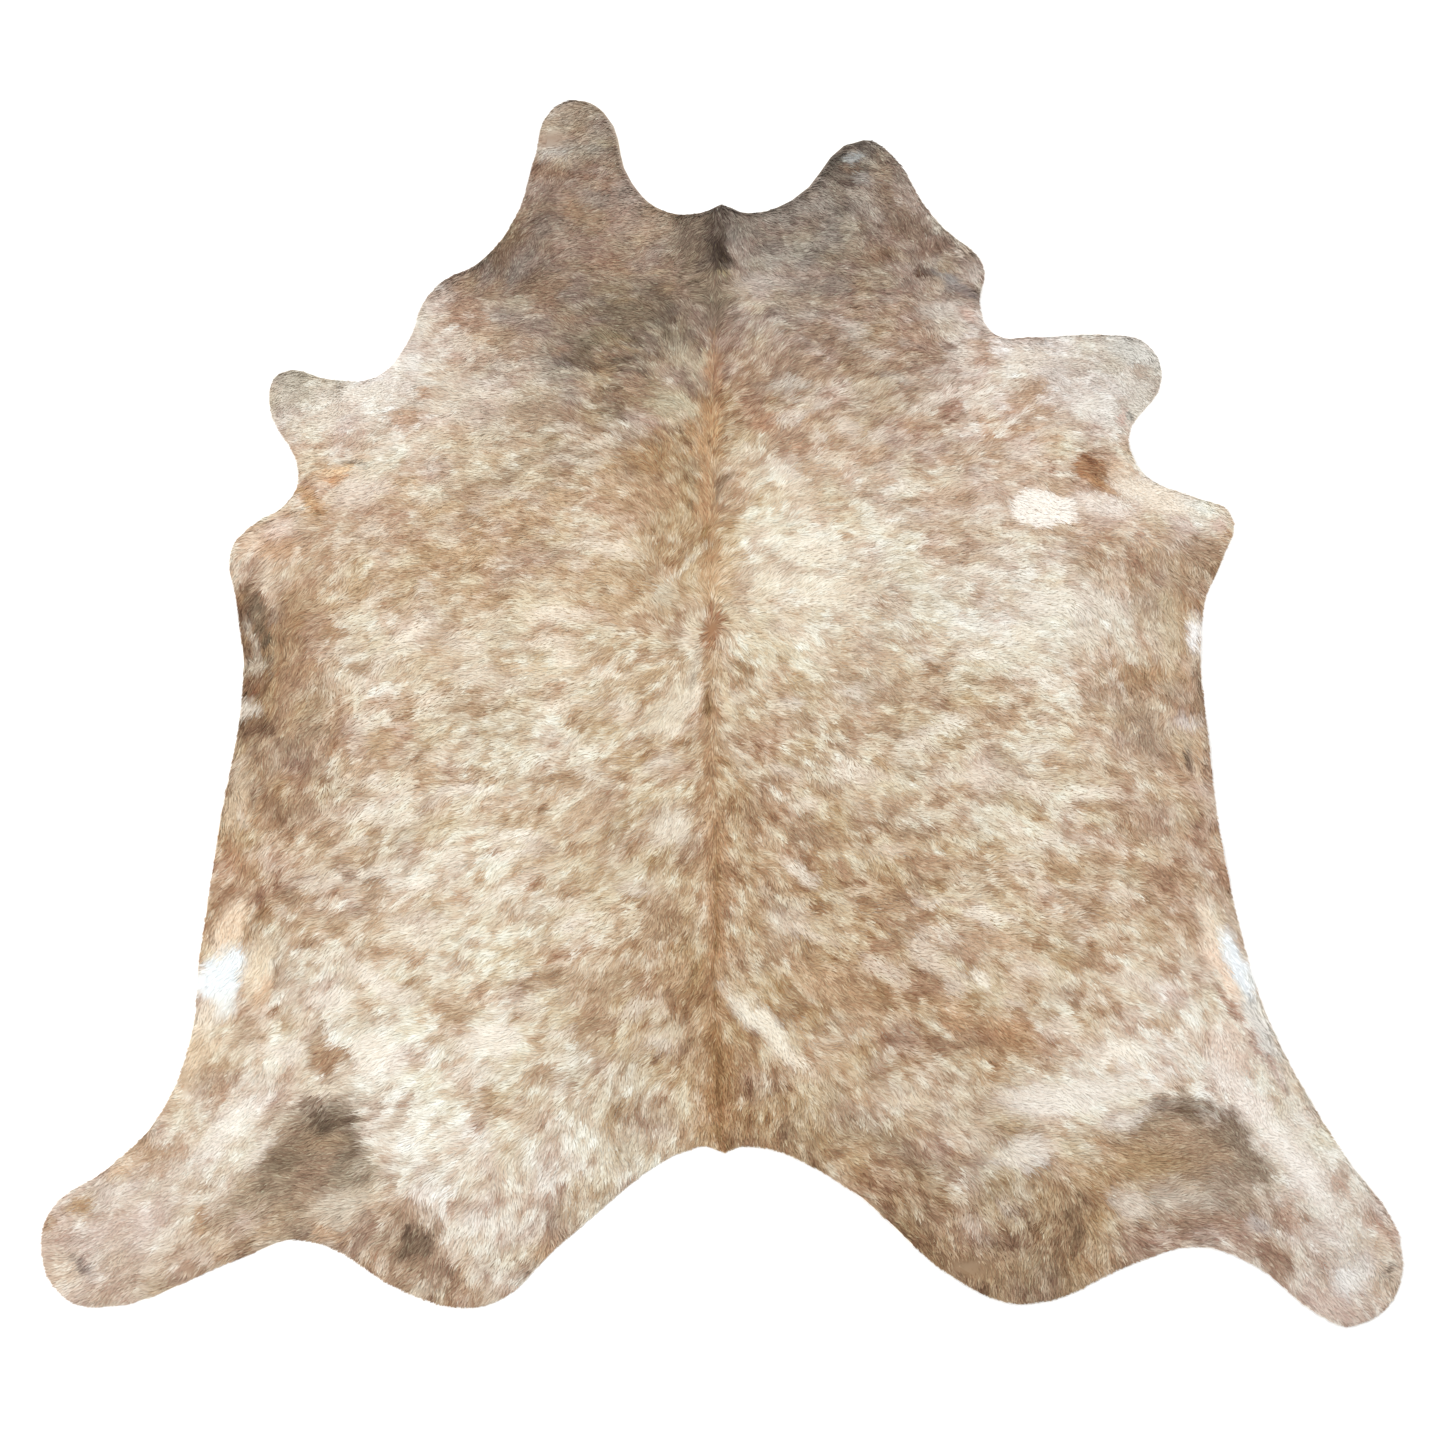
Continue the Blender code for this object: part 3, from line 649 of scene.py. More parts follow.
# Patches of a colour of their own: place, x, y, half length and half width in millimetres, degrees, colour,
# strength, and soft edge in millimetres
COLOUR_PATCHES = (
    # neck
    ("mane, left", -40, 780, 90, 45, 90, "#75614E", 0.8, 20),
    ("mane", -6, 785, 80, 23, 90, "#4E3E33", 0.9, 12),
    ("mane, dark middle", -4, 765, 24, 14, 70, "#372516", 0.95, 8),
    ("mane, lower strands", -30, 735, 30, 8, 60, "#5F5044", 0.7, 6),
    ("beside the mane, right", 50, 810, 40, 22, 350, "#90867B", 0.6, 12),
    ("under the mane, right", 70, 690, 40, 22, 10, "#B7AAA0", 0.6, 14),
    ("strand across the mane", 2, 713, 16, 3, 8, "#C4B284", 0.9, 3),
    ("strand left of the mane", -35, 703, 24, 3, 20, "#B9A68A", 0.75, 3),
    ("knot of dark hair", -45, 692, 14, 8, 30, "#4B3625", 0.92, 5),
    ("left neck strand", -120, 713, 30, 3, 5, "#C2AE92", 0.65, 3),
    ("left neck far strand", -200, 712, 25, 3, 355, "#BBA78E", 0.55, 3),
    ("spine at the neck", -16, 665, 55, 30, 90, "#7F6D59", 0.8, 15),
    # Painted shade: the dark line in the fold of the neck's skin.
    ("left neck fold", -345, 825, 45, 3.5, 38, "#6A5546", 0.85, 3),
    ("left neck under the fold", -325, 800, 30, 18, 70, "#8F8073", 0.6, 10),
    ("left neck pale strokes", -285, 790, 35, 12, 300, "#B8A694", 0.65, 8),
    ("left neck edge brown", -385, 770, 45, 18, 60, "#86694F", 0.55, 12),
    ("left cheek grey strokes", -365, 715, 35, 16, 75, "#94887D", 0.6, 10),
    ("left cheek red", -310, 690, 40, 30, 20, "#977C63", 0.55, 15),
    ("left neck red band", -270, 937, 70, 10, 355, "#94715A", 0.65, 8),
    ("left neck golden", -265, 865, 25, 35, 20, "#A18366", 0.55, 12),
    ("left neck golden low", -235, 820, 25, 20, 20, "#A68B6E", 0.5, 12),
    ("left neck pale", -235, 880, 20, 30, 80, "#A3968A", 0.55, 12),
    ("left lobe white", -315, 985, 32, 16, 345, "#C9C2B8", 0.85, 12),
    ("left lobe grey", -255, 995, 30, 12, 5, "#A49C90", 0.6, 10),
    ("left lobe tip", -270, 1090, 50, 20, 0, "#AC967F", 0.55, 15),
    ("left lobe strand", -215, 1010, 22, 4, 345, "#C2B49A", 0.7, 4),
    ("right lobe dark", 205, 955, 30, 18, 50, "#75685C", 0.8, 10),
    ("right lobe dark low", 225, 920, 20, 14, 340, "#69574B", 0.88, 8),
    ("right lobe dark top", 215, 975, 18, 10, 40, "#6C6258", 0.7, 8),
    ("right lobe blue-grey", 245, 978, 16, 11, 0, "#B4B6B4", 0.85, 7),
    ("right lobe pale spots", 265, 925, 18, 12, 320, "#B0A9A2", 0.7, 8),
    ("right lobe brown", 245, 955, 12, 14, 90, "#846C58", 0.7, 6),
    ("right neck brown streak", 330, 830, 75, 22, 305, "#8F745F", 0.65, 16),
    ("right neck brown end", 385, 775, 28, 20, 345, "#8C6F5D", 0.75, 10),
    ("right cheek spot", 365, 715, 18, 11, 10, "#61412C", 0.97, 6),
    ("right cheek blue-grey", 405, 695, 35, 10, 325, "#9A9694", 0.75, 8),
    ("right cheek dark edge", 430, 673, 22, 8, 330, "#94847D", 0.7, 6),
    ("right cheek pale", 380, 735, 22, 10, 20, "#B9ADA2", 0.6, 8),
    ("right cheek tan", 445, 765, 18, 12, 340, "#B29A86", 0.55, 8),
    ("right cheek streak", 320, 675, 35, 8, 18, "#97796A", 0.6, 7),
    ("right shoulder rim", 440, 620, 18, 16, 90, "#C9A795", 0.6, 10),
    ("right cheek bottom pale", 395, 635, 35, 18, 0, "#CDC3B9", 0.6, 12),
    # withers
    ("left withers, dark", -150, 625, 50, 32, 15, "#7C6B57", 0.6, 20),
    ("left withers, dark low", -215, 570, 40, 22, 10, "#867659", 0.5, 15),
    ("spine caramel, withers", -14, 470, 85, 15, 92, "#A57E5A", 0.8, 8),
    ("spine brown, withers", -8, 500, 45, 7, 80, "#96735A", 0.65, 6),
    ("left withers pale strokes", -60, 520, 45, 18, 115, "#B9AC95", 0.6, 12),
    ("left withers cream", -75, 435, 40, 22, 140, "#CBC0A6", 0.6, 12),
    ("spine caramel, shoulders", -22, 370, 60, 18, 92, "#C0986C", 0.75, 12),
    ("right withers brown band", 50, 427, 50, 18, 130, "#AA866A", 0.75, 10),
    ("right withers orange", 75, 390, 27, 22, 20, "#AD8669", 0.8, 12),
    ("right withers brown end", 122, 350, 42, 17, 165, "#B59277", 0.7, 12),
    ("right withers tan", 115, 375, 35, 15, 10, "#BE9F85", 0.6, 10),
    ("right blade cream", 120, 405, 30, 12, 20, "#DDD3C6", 0.7, 8),
    ("right withers cream", 115, 470, 35, 12, 10, "#CFC4B6", 0.6, 10),
    ("right withers brown", 120, 530, 35, 30, 30, "#A0856E", 0.6, 15),
    ("cream under the withers", 35, 335, 30, 14, 40, "#DACDB6", 0.6, 10),
    # forelegs
    ("left shoulder brown", -448, 622, 31, 34, 60, "#A88871", 0.9, 11),
    ("left shoulder brown low", -428, 598, 34, 18, 340, "#A98B75", 0.85, 10),
    ("left shoulder fair dot", -448, 614, 6, 5, 0, "#D8C8B8", 0.8, 3),
    ("left shoulder rim", -530, 600, 45, 14, 80, "#D5CCC0", 0.6, 10),
    ("left shoulder white", -540, 520, 25, 20, 300, "#E6E3DC", 0.75, 12),
    ("left shoulder spot", -408, 520, 26, 14, 60, "#AC8C76", 0.7, 7),
    ("left shoulder second spot", -355, 560, 10, 8, 0, "#A08B7B", 0.6, 6),
    ("left foreleg root spot", -522, 458, 13, 12, 60, "#BC9678", 0.8, 6),
    ("left foreleg root second", -498, 462, 12, 10, 0, "#C9AA90", 0.55, 6),
    ("left foreleg bar", -547, 405, 28, 16, 350, "#BE9C7F", 0.75, 8),
    ("left foreleg tip", -748, 478, 42, 24, 60, "#BFB6A5", 0.8, 14),
    ("left foreleg tip brown", -742, 445, 30, 10, 30, "#B7AA99", 0.6, 8),
    ("left foreleg pale", -640, 448, 58, 24, 20, "#EBE3D6", 0.75, 12),
    ("left foreleg pink streak", -665, 415, 45, 10, 20, "#CDB4A2", 0.6, 8),
    ("left foreleg cream", -690, 395, 40, 12, 25, "#EAE2D2", 0.6, 10),
    ("left elbow front specks", -700, 345, 30, 10, 15, "#C7A88F", 0.6, 7),
    ("left elbow front specks, inner", -640, 348, 20, 8, 10, "#C4A68F", 0.55, 7),
    ("left shoulder taupe", -340, 415, 50, 22, 10, "#B29C84", 0.65, 12),
    ("right foreleg tip", 728, 542, 50, 30, 325, "#DAD7CF", 0.85, 20),
    ("right foreleg tip spot", 737, 505, 16, 14, 320, "#C2AE9C", 0.75, 8),
    ("right foreleg underside", 720, 440, 45, 16, 60, "#DED8CD", 0.7, 10),
    ("right foreleg white", 650, 425, 45, 28, 330, "#EBE7E0", 0.6, 16),
    ("right foreleg line", 672, 472, 50, 6, 305, "#C4B3A2", 0.55, 6),
    ("right foreleg bare skin", 692, 402, 14, 4, 75, "#D2A898", 0.75, 4),
    ("right foreleg dark curl", 708, 408, 7, 3, 100, "#55524E", 0.9, 3),
    ("right foreleg brown", 545, 470, 22, 20, 40, "#C6AA93", 0.7, 10),
    ("right foreleg root spot", 460, 520, 22, 9, 345, "#B7937A", 0.7, 7),
    ("right foreleg second spot", 452, 545, 14, 10, 30, "#C0A08A", 0.6, 7),
    ("right shoulder streak", 522, 445, 32, 14, 30, "#BE9D80", 0.75, 9),
    ("right shoulder second streak", 505, 415, 25, 9, 20, "#BC997C", 0.75, 7),
    ("right shoulder third streak", 535, 385, 28, 8, 20, "#B89576", 0.75, 7),
    ("right shoulder drop", 450, 400, 30, 10, 290, "#B8957B", 0.75, 7),
    ("right shoulder drop end", 467, 365, 14, 10, 300, "#AE8868", 0.8, 6),
    ("right shoulder upper drop", 405, 425, 16, 14, 300, "#AA8570", 0.75, 7),
    ("right shoulder fair", 440, 345, 30, 10, 15, "#D9C9B7", 0.5, 8),
    ("right neck side brown", 345, 565, 22, 22, 20, "#A68673", 0.65, 12),
    # elbows and armpits
    # Painted shade: the dark line in the crease of the left armpit.
    ("left armpit crease", -626, 308, 22, 6, 350, "#523C28", 1.0, 4),
    ("left armpit peach", -648, 299, 30, 8, 12, "#EACDA8", 0.9, 5),
    ("left armpit orange", -652, 281, 24, 9, 15, "#CDA078", 0.9, 6),
    ("left armpit pale", -610, 255, 50, 22, 25, "#E6D9CC", 0.65, 12),
    ("left elbow swirl", -694, 238, 34, 18, 310, "#BD976B", 0.85, 10),
    ("left elbow swirl end", -680, 216, 14, 10, 300, "#A9805A", 0.8, 7),
    ("left elbow white", -742, 182, 28, 16, 20, "#EAD9CB", 0.75, 12),
    ("left elbow pale fur", -785, 155, 25, 14, 80, "#DCC5B0", 0.55, 10),
    ("left elbow tan", -750, 145, 42, 14, 355, "#C9A480", 0.65, 12),
    ("right elbow peach", 730, 250, 78, 24, 338, "#EDE1D0", 0.9, 10),
    ("right armpit peach", 674, 298, 22, 14, 20, "#D6BA9D", 0.8, 10),
    ("right elbow white", 650, 230, 45, 16, 340, "#F2EAE1", 0.7, 10),
    ("right armpit swirl", 632, 296, 39, 31, 104, "#A57A56", 0.95, 9),
    ("right armpit dark", 630, 317, 13, 10, 100, "#86593B", 0.85, 8),
    ("right armpit tail", 645, 266, 30, 10, 330, "#B48A60", 0.85, 7),
    ("right elbow rim", 812, 222, 32, 10, 330, "#E6E6DF", 0.8, 8),
    ("right elbow tip", 845, 190, 16, 16, 60, "#CFB4A8", 0.7, 8),
    ("right elbow white fur", 780, 190, 30, 12, 330, "#E2D4CA", 0.6, 8),
    ("brown under the oval", 545, 178, 50, 10, 350, "#BFA286", 0.6, 8),
    ("brown before the oval", 520, 262, 50, 10, 350, "#BD9C80", 0.6, 8),
    ("white oval", 542, 224, 56, 36, 355, "#F5EFE6", 1.0, 6),
    ("white oval, left half", 521, 226, 35, 33, 355, "#F5EFE6", 1.0, 6),
    ("white oval, right half", 564, 222, 35, 33, 355, "#F5EFE6", 1.0, 6),
    ("right elbow brown", 800, 130, 35, 25, 60, "#A1846A", 0.75, 14),
    ("right elbow brown streak", 690, 120, 28, 10, 285, "#A67F65", 0.75, 8),
    ("right elbow streaks", 625, 165, 45, 9, 345, "#AF8E74", 0.65, 8),
    # bellies
    ("left belly rim, brown", -765, -75, 155, 24, 92, "#80654D", 0.82, 14),
    ("left belly light strokes", -748, 75, 45, 13, 105, "#DFD0BC", 0.7, 10),
    ("left belly rim brown", -793, 52, 20, 10, 100, "#94714F", 0.75, 7),
    ("left belly dark streak", -768, 28, 42, 13, 115, "#7D6A55", 0.85, 9),
    ("left belly dark streak end", -750, -12, 24, 9, 115, "#66543F", 0.85, 6),
    ("left belly pale streak", -768, -25, 30, 6, 110, "#CFC2B0", 0.75, 5),
    ("left belly brown edge", -775, -55, 12, 12, 60, "#8E6F55", 0.7, 7),
    ("left belly curl", -757, -75, 16, 12, 30, "#CFC0AB", 0.8, 7),
    ("left belly curl rim", -733, -75, 35, 6, 100, "#8B7864", 0.75, 5),
    ("left belly brown", -760, -108, 22, 15, 10, "#8B6A50", 0.9, 8),
    ("left belly rust", -752, -127, 10, 6, 0, "#84583C", 0.7, 5),
    ("left belly tuft", -762, -153, 22, 12, 350, "#DAD0C1", 0.9, 7),
    ("left belly dark band", -748, -191, 30, 16, 0, "#785A43", 0.95, 8),
    ("left belly grey curls", -765, -250, 28, 14, 80, "#C9BAA6", 0.65, 10),
    # Painted shade: the two dark lines along creases of the left belly.
    ("left belly crease", -738, -238, 24, 4, 110, "#7F664F", 0.75, 4),
    ("left belly low crease", -735, -310, 22, 6, 105, "#7F6A55", 0.7, 6),
    ("left belly pale rim", -765, -312, 50, 16, 88, "#D0BCA0", 0.75, 10),
    ("left belly pale lock", -752, -340, 22, 7, 110, "#DCCDB9", 0.75, 6),
    ("left belly brown band", -712, 0, 50, 14, 85, "#AE8E6D", 0.55, 12),
    ("left belly brown band low", -700, -130, 50, 16, 85, "#AB8D73", 0.55, 12),
    ("left belly grey-brown", -665, -200, 40, 30, 60, "#A7917A", 0.55, 16),
    ("left flank brown", -660, -325, 30, 20, 80, "#A88B70", 0.6, 12),
    ("right belly strokes", 738, 0, 90, 11, 85, "#CFC0A4", 0.55, 10),
    ("right belly fuzz", 776, -18, 32, 11, 85, "#FBFAF8", 0.9, 8),
    ("right belly rim brown", 772, -105, 36, 11, 88, "#8A6F59", 0.85, 8),
    ("right belly rim grey", 755, -178, 18, 18, 60, "#D5CBC3", 0.8, 10),
    # Painted shade: the dark lines in two slits of the right belly.
    ("right belly slit", 746, -240, 26, 6, 92, "#624939", 0.9, 4),
    ("right belly second slit", 722, -243, 14, 5, 110, "#9C7656", 0.75, 4),
    ("right belly pale strand", 756, -285, 40, 3, 90, "#D2BFA6", 0.6, 3),
    ("right belly rim low", 775, -270, 45, 7, 90, "#9C7C64", 0.7, 6),
    ("right belly brown", 680, -88, 45, 22, 8, "#B28E68", 0.65, 12),
    ("right belly grey-brown", 685, -190, 55, 25, 100, "#A38C78", 0.6, 16),
    ("right flank edge", 752, -365, 28, 12, 100, "#A07D65", 0.75, 8),
    ("right flank pale", 700, -385, 25, 12, 0, "#D6C5B0", 0.55, 10),
    ("right groin front brown", 690, -440, 35, 22, 10, "#AF8A6C", 0.6, 14),
    ("right groin brown low", 690, -530, 45, 16, 20, "#B08E6C", 0.55, 12),
    # spine and whorl
    ("spine, shoulders to whorl", -22, 200, 150, 15, 90, "#B5906A", 0.85, 8),
    ("dark strand left of the spine", -46, 252, 22, 3, 98, "#7F6A50", 0.8, 4),
    ("dark strand right of the spine", -8, 248, 28, 5, 78, "#7D6850", 0.8, 5),
    ("dark strand, upper right", 12, 283, 14, 4, 60, "#857055", 0.7, 4),
    ("dark line ahead of the whorl", -30, 175, 20, 5, 92, "#95703F", 0.8, 4),
    ("dark line nearer the whorl", -28, 135, 14, 4, 90, "#9C774C", 0.7, 4),
    ("caramel ahead of the whorl", -2, 80, 58, 25, 78, "#C3A27A", 0.62, 14),
    ("pale strand ahead of the whorl", -70, 95, 45, 4, 48, "#DCD5C4", 0.75, 4),
    ("cream behind the strand", -88, 50, 22, 16, 45, "#DDD6C2", 0.55, 10),
    ("whorl", -14, -3, 30, 13, 80, "#A47552", 0.85, 9),
    ("whorl, below", -17, -21, 17, 12, 80, "#9B6A48", 0.95, 7),
    ("cream left of the whorl", -45, 0, 30, 10, 105, "#E3D7BC", 0.6, 8),
    ("spine, loins", -18, -160, 135, 13, 90, "#B99570", 0.75, 8),
    ("dark line behind the whorl", -20, -145, 40, 3.5, 91, "#8F6A3E", 0.8, 3),
    ("pale streak by the whorl", -45, -85, 40, 8, 78, "#D9CEBC", 0.75, 7),
    ("shade beside the streak", -52, -130, 40, 4, 80, "#B3A48F", 0.6, 4),
    ("white fan left of the loin", -85, -160, 45, 24, 65, "#DDD2BD", 0.7, 14),
    ("cream strand right of the loin", 5, -120, 50, 5, 100, "#DCCBAA", 0.6, 5),
    ("brown strands right of the loin", 40, -85, 35, 7, 125, "#A98662", 0.6, 6),
    ("spine, croup", -8, -500, 210, 20, 90, "#B38C66", 0.85, 12),
    ("spine, dark line on the croup", -8, -520, 190, 3.5, 90, "#8C6436", 0.75, 3),
    ("spine, tail", -3, -780, 90, 18, 90, "#AC8254", 0.8, 12),
    ("spine, dark line at the tail", -3, -800, 70, 4, 90, "#80592F", 0.8, 5),
    # groins
    ("left groin peach", -755, -530, 42, 26, 60, "#F0DCC2", 0.8, 14),
    ("left groin bare patch", -757, -603, 46, 38, 75, "#EEF3F4", 1.0, 10),
    ("left groin bare tail", -750, -652, 24, 14, 60, "#EEF0EC", 0.9, 10),
    ("left groin cream", -700, -595, 45, 18, 95, "#F0E2C8", 0.75, 12),
    # Painted shade: the dark line in the crease at the edge of the left groin.
    ("left groin crease", -674, -600, 40, 3.5, 96, "#9C8062", 0.8, 3),
    ("left groin tan", -690, -630, 22, 10, 80, "#D9B794", 0.65, 8),
    ("left groin brown strands", -722, -525, 30, 8, 120, "#BD9A73", 0.65, 7),
    ("left groin shade", -705, -690, 30, 20, 80, "#B39A80", 0.6, 14),
    ("left groin peach low", -778, -675, 32, 22, 60, "#E8DBC8", 0.8, 12),
    ("left groin low cream", -760, -715, 30, 10, 30, "#EAD9BF", 0.6, 8),
    ("left groin front brown", -755, -415, 25, 14, 100, "#B68B66", 0.65, 10),
    ("left groin front dark", -712, -480, 12, 10, 30, "#98735A", 0.8, 6),
    ("left groin front second dark", -700, -465, 14, 6, 20, "#A27A62", 0.7, 6),
    ("right groin cream", 750, -530, 55, 18, 280, "#F3E6D2", 0.85, 10),
    ("right groin pink cream", 765, -610, 55, 16, 290, "#F2DDC9", 0.8, 10),
    ("right groin white", 788, -590, 62, 15, 287, "#F2F6F8", 1.0, 6),
    ("right groin grey", 812, -690, 55, 16, 293, "#E3DFD8", 0.9, 8),
    ("right groin rim", 783, -505, 50, 6, 285, "#CFBBAA", 0.5, 5),
    # Painted shade: the three darker lines along the fold of the right thigh.
    ("right thigh fold", 764, -650, 45, 8, 306, "#A8836C", 0.9, 5),
    ("right thigh fold low", 806, -722, 50, 6, 298, "#BA9C8C", 0.8, 5),
    ("right thigh fold lowest", 825, -765, 30, 8, 305, "#BFA79C", 0.6, 7),
    ("right thigh cream", 760, -705, 35, 18, 300, "#F1E2D4", 0.6, 12),
    # hocks
    ("left hock", -605, -880, 90, 60, 55, "#9A8068", 0.9, 30),
    ("left hock, outer leg", -680, -938, 60, 28, 50, "#A6927A", 0.8, 20),
    ("left hock, inner leg", -545, -885, 45, 24, 105, "#94846F", 0.8, 18),
    ("left hock dark top", -582, -822, 40, 21, 345, "#584635", 0.88, 15),
    ("left hock dark right", -543, -850, 38, 22, 298, "#705C48", 0.9, 16),
    ("left hock dark left", -640, -890, 45, 18, 55, "#7F6B54", 0.78, 14),
    ("left hock tan middle", -580, -858, 30, 12, 10, "#AB9274", 0.6, 10),
    ("left hock pale", -552, -955, 42, 22, 15, "#DACEBB", 0.85, 14),
    ("left hock rim", -620, -975, 50, 14, 15, "#AE967D", 0.75, 12),
    ("left hock dot edge", -435, -1010, 45, 40, 70, "#A98D72", 0.7, 18),
    ("left hock dot", -440, -1005, 22, 14, 60, "#69523E", 0.85, 10),
    ("left rump dark rim", -405, -1045, 30, 14, 340, "#9A7B62", 0.65, 10),
    ("left hock brown patch", -565, -985, 26, 10, 345, "#C6A585", 0.65, 8),
    ("left hock second patch", -465, -955, 28, 18, 40, "#B4967A", 0.7, 10),
    ("left hock cream top", -592, -774, 40, 10, 5, "#E2D6C2", 0.9, 8),
    ("left thigh drop", -588, -732, 34, 26, 97, "#AA8868", 0.95, 8),
    ("left thigh drop top", -600, -692, 24, 14, 80, "#B79D80", 0.8, 8),
    ("left shank white", -720, -825, 45, 22, 50, "#F1ECE2", 0.75, 14),
    ("left shank white low", -680, -870, 40, 12, 50, "#EDE6DA", 0.6, 10),
    ("left shank tan edge", -790, -740, 55, 16, 80, "#DCC6A8", 0.6, 12),
    ("left shank spot", -825, -868, 26, 12, 350, "#BA9A7B", 0.85, 7),
    ("left shank second spot", -790, -872, 12, 10, 30, "#C2A288", 0.75, 6),
    ("left shank third spot", -820, -897, 14, 8, 20, "#BE9F84", 0.75, 6),
    ("left shank rim", -875, -895, 30, 9, 35, "#CDAE8E", 0.65, 7),
    ("left foot spot", -925, -945, 14, 18, 70, "#B5946F", 0.9, 7),
    ("left foot rim spot", -968, -972, 8, 10, 90, "#B39377", 0.8, 5),
    ("left foot mark", -908, -1037, 18, 6, 320, "#84736A", 0.85, 5),
    ("left foot pink", -855, -1055, 35, 22, 60, "#C6AF9C", 0.6, 14),
    ("left foot inner spot", -745, -972, 16, 10, 60, "#B99A7A", 0.8, 7),
    ("left foot white", -865, -925, 25, 10, 30, "#EBE3DA", 0.6, 9),
    ("right hock", 690, -870, 90, 54, 345, "#A68869", 0.85, 26),
    ("right hock arc, left", 638, -815, 40, 15, 18, "#8D7660", 0.8, 16),
    ("right hock arc", 692, -810, 44, 16, 350, "#745A44", 0.88, 18),
    ("right hock arc, right", 742, -838, 36, 16, 315, "#836951", 0.8, 16),
    ("right hock dark side", 768, -885, 40, 16, 295, "#95826E", 0.75, 16),
    ("right hock grey", 735, -925, 40, 28, 320, "#A08B78", 0.8, 18),
    ("right hock golden", 610, -885, 45, 22, 0, "#B69770", 0.65, 14),
    ("right hock pale", 665, -940, 45, 16, 350, "#CDC1B1", 0.75, 12),
    ("right hock cream", 590, -948, 30, 18, 340, "#E2D7C9", 0.75, 10),
    ("right hock streak", 700, -965, 40, 12, 350, "#A08068", 0.7, 9),
    ("right hock white curl", 780, -980, 20, 16, 320, "#CBC2BC", 0.7, 10),
    ("right hock brown rim", 788, -1020, 26, 12, 280, "#A98974", 0.75, 8),
    ("right shank pink", 822, -965, 22, 12, 290, "#C3A28D", 0.75, 9),
    ("right shank white", 785, -800, 80, 18, 308, "#F3EBE2", 0.85, 12),
    ("right shank white low", 850, -900, 70, 20, 298, "#F4EEE7", 0.8, 14),
    ("right foot spot", 905, -922, 22, 11, 300, "#BB9A85", 0.8, 8),
    ("right foot second spot", 935, -975, 20, 12, 300, "#C0A08B", 0.75, 9),
    ("right foot mark", 954, -1045, 11, 6, 60, "#5E4838", 1.0, 4),
    ("right foot white", 900, -1050, 26, 18, 60, "#F3F2EF", 0.7, 12),
    ("right foot pink rim", 860, -1085, 30, 14, 350, "#D9C5BA", 0.6, 10),
    # rump
    ("right rump white", 510, -790, 90, 26, 5, "#EFE9DF", 0.8, 14),
    ("right rump white corner", 440, -872, 45, 20, 20, "#ECE5DB", 0.75, 12),
    ("right rump white end", 600, -820, 35, 10, 20, "#EDE6DC", 0.7, 8),
    ("right rump brown", 500, -970, 45, 28, 80, "#927559", 0.7, 14),
    ("right rump brown high", 550, -862, 28, 10, 345, "#B08D69", 0.75, 8),
    ("right rump cream dots", 415, -945, 18, 14, 300, "#D9CBB9", 0.6, 9),
    ("right rump edge brown", 380, -1030, 60, 28, 350, "#A08362", 0.6, 16),
    ("right croup cream flash", 62, -678, 72, 19, 310, "#F0E9D9", 0.9, 9),
    ("right croup flash end", 115, -735, 45, 12, 320, "#ECE2D0", 0.8, 9),
    ("right rump flash end", 270, -790, 45, 12, 345, "#E3D3B8", 0.6, 10),
    ("right thigh brown", 440, -690, 55, 20, 335, "#B58C64", 0.65, 14),
    ("right thigh brown, near", 350, -665, 40, 18, 335, "#BC956D", 0.6, 12),
)

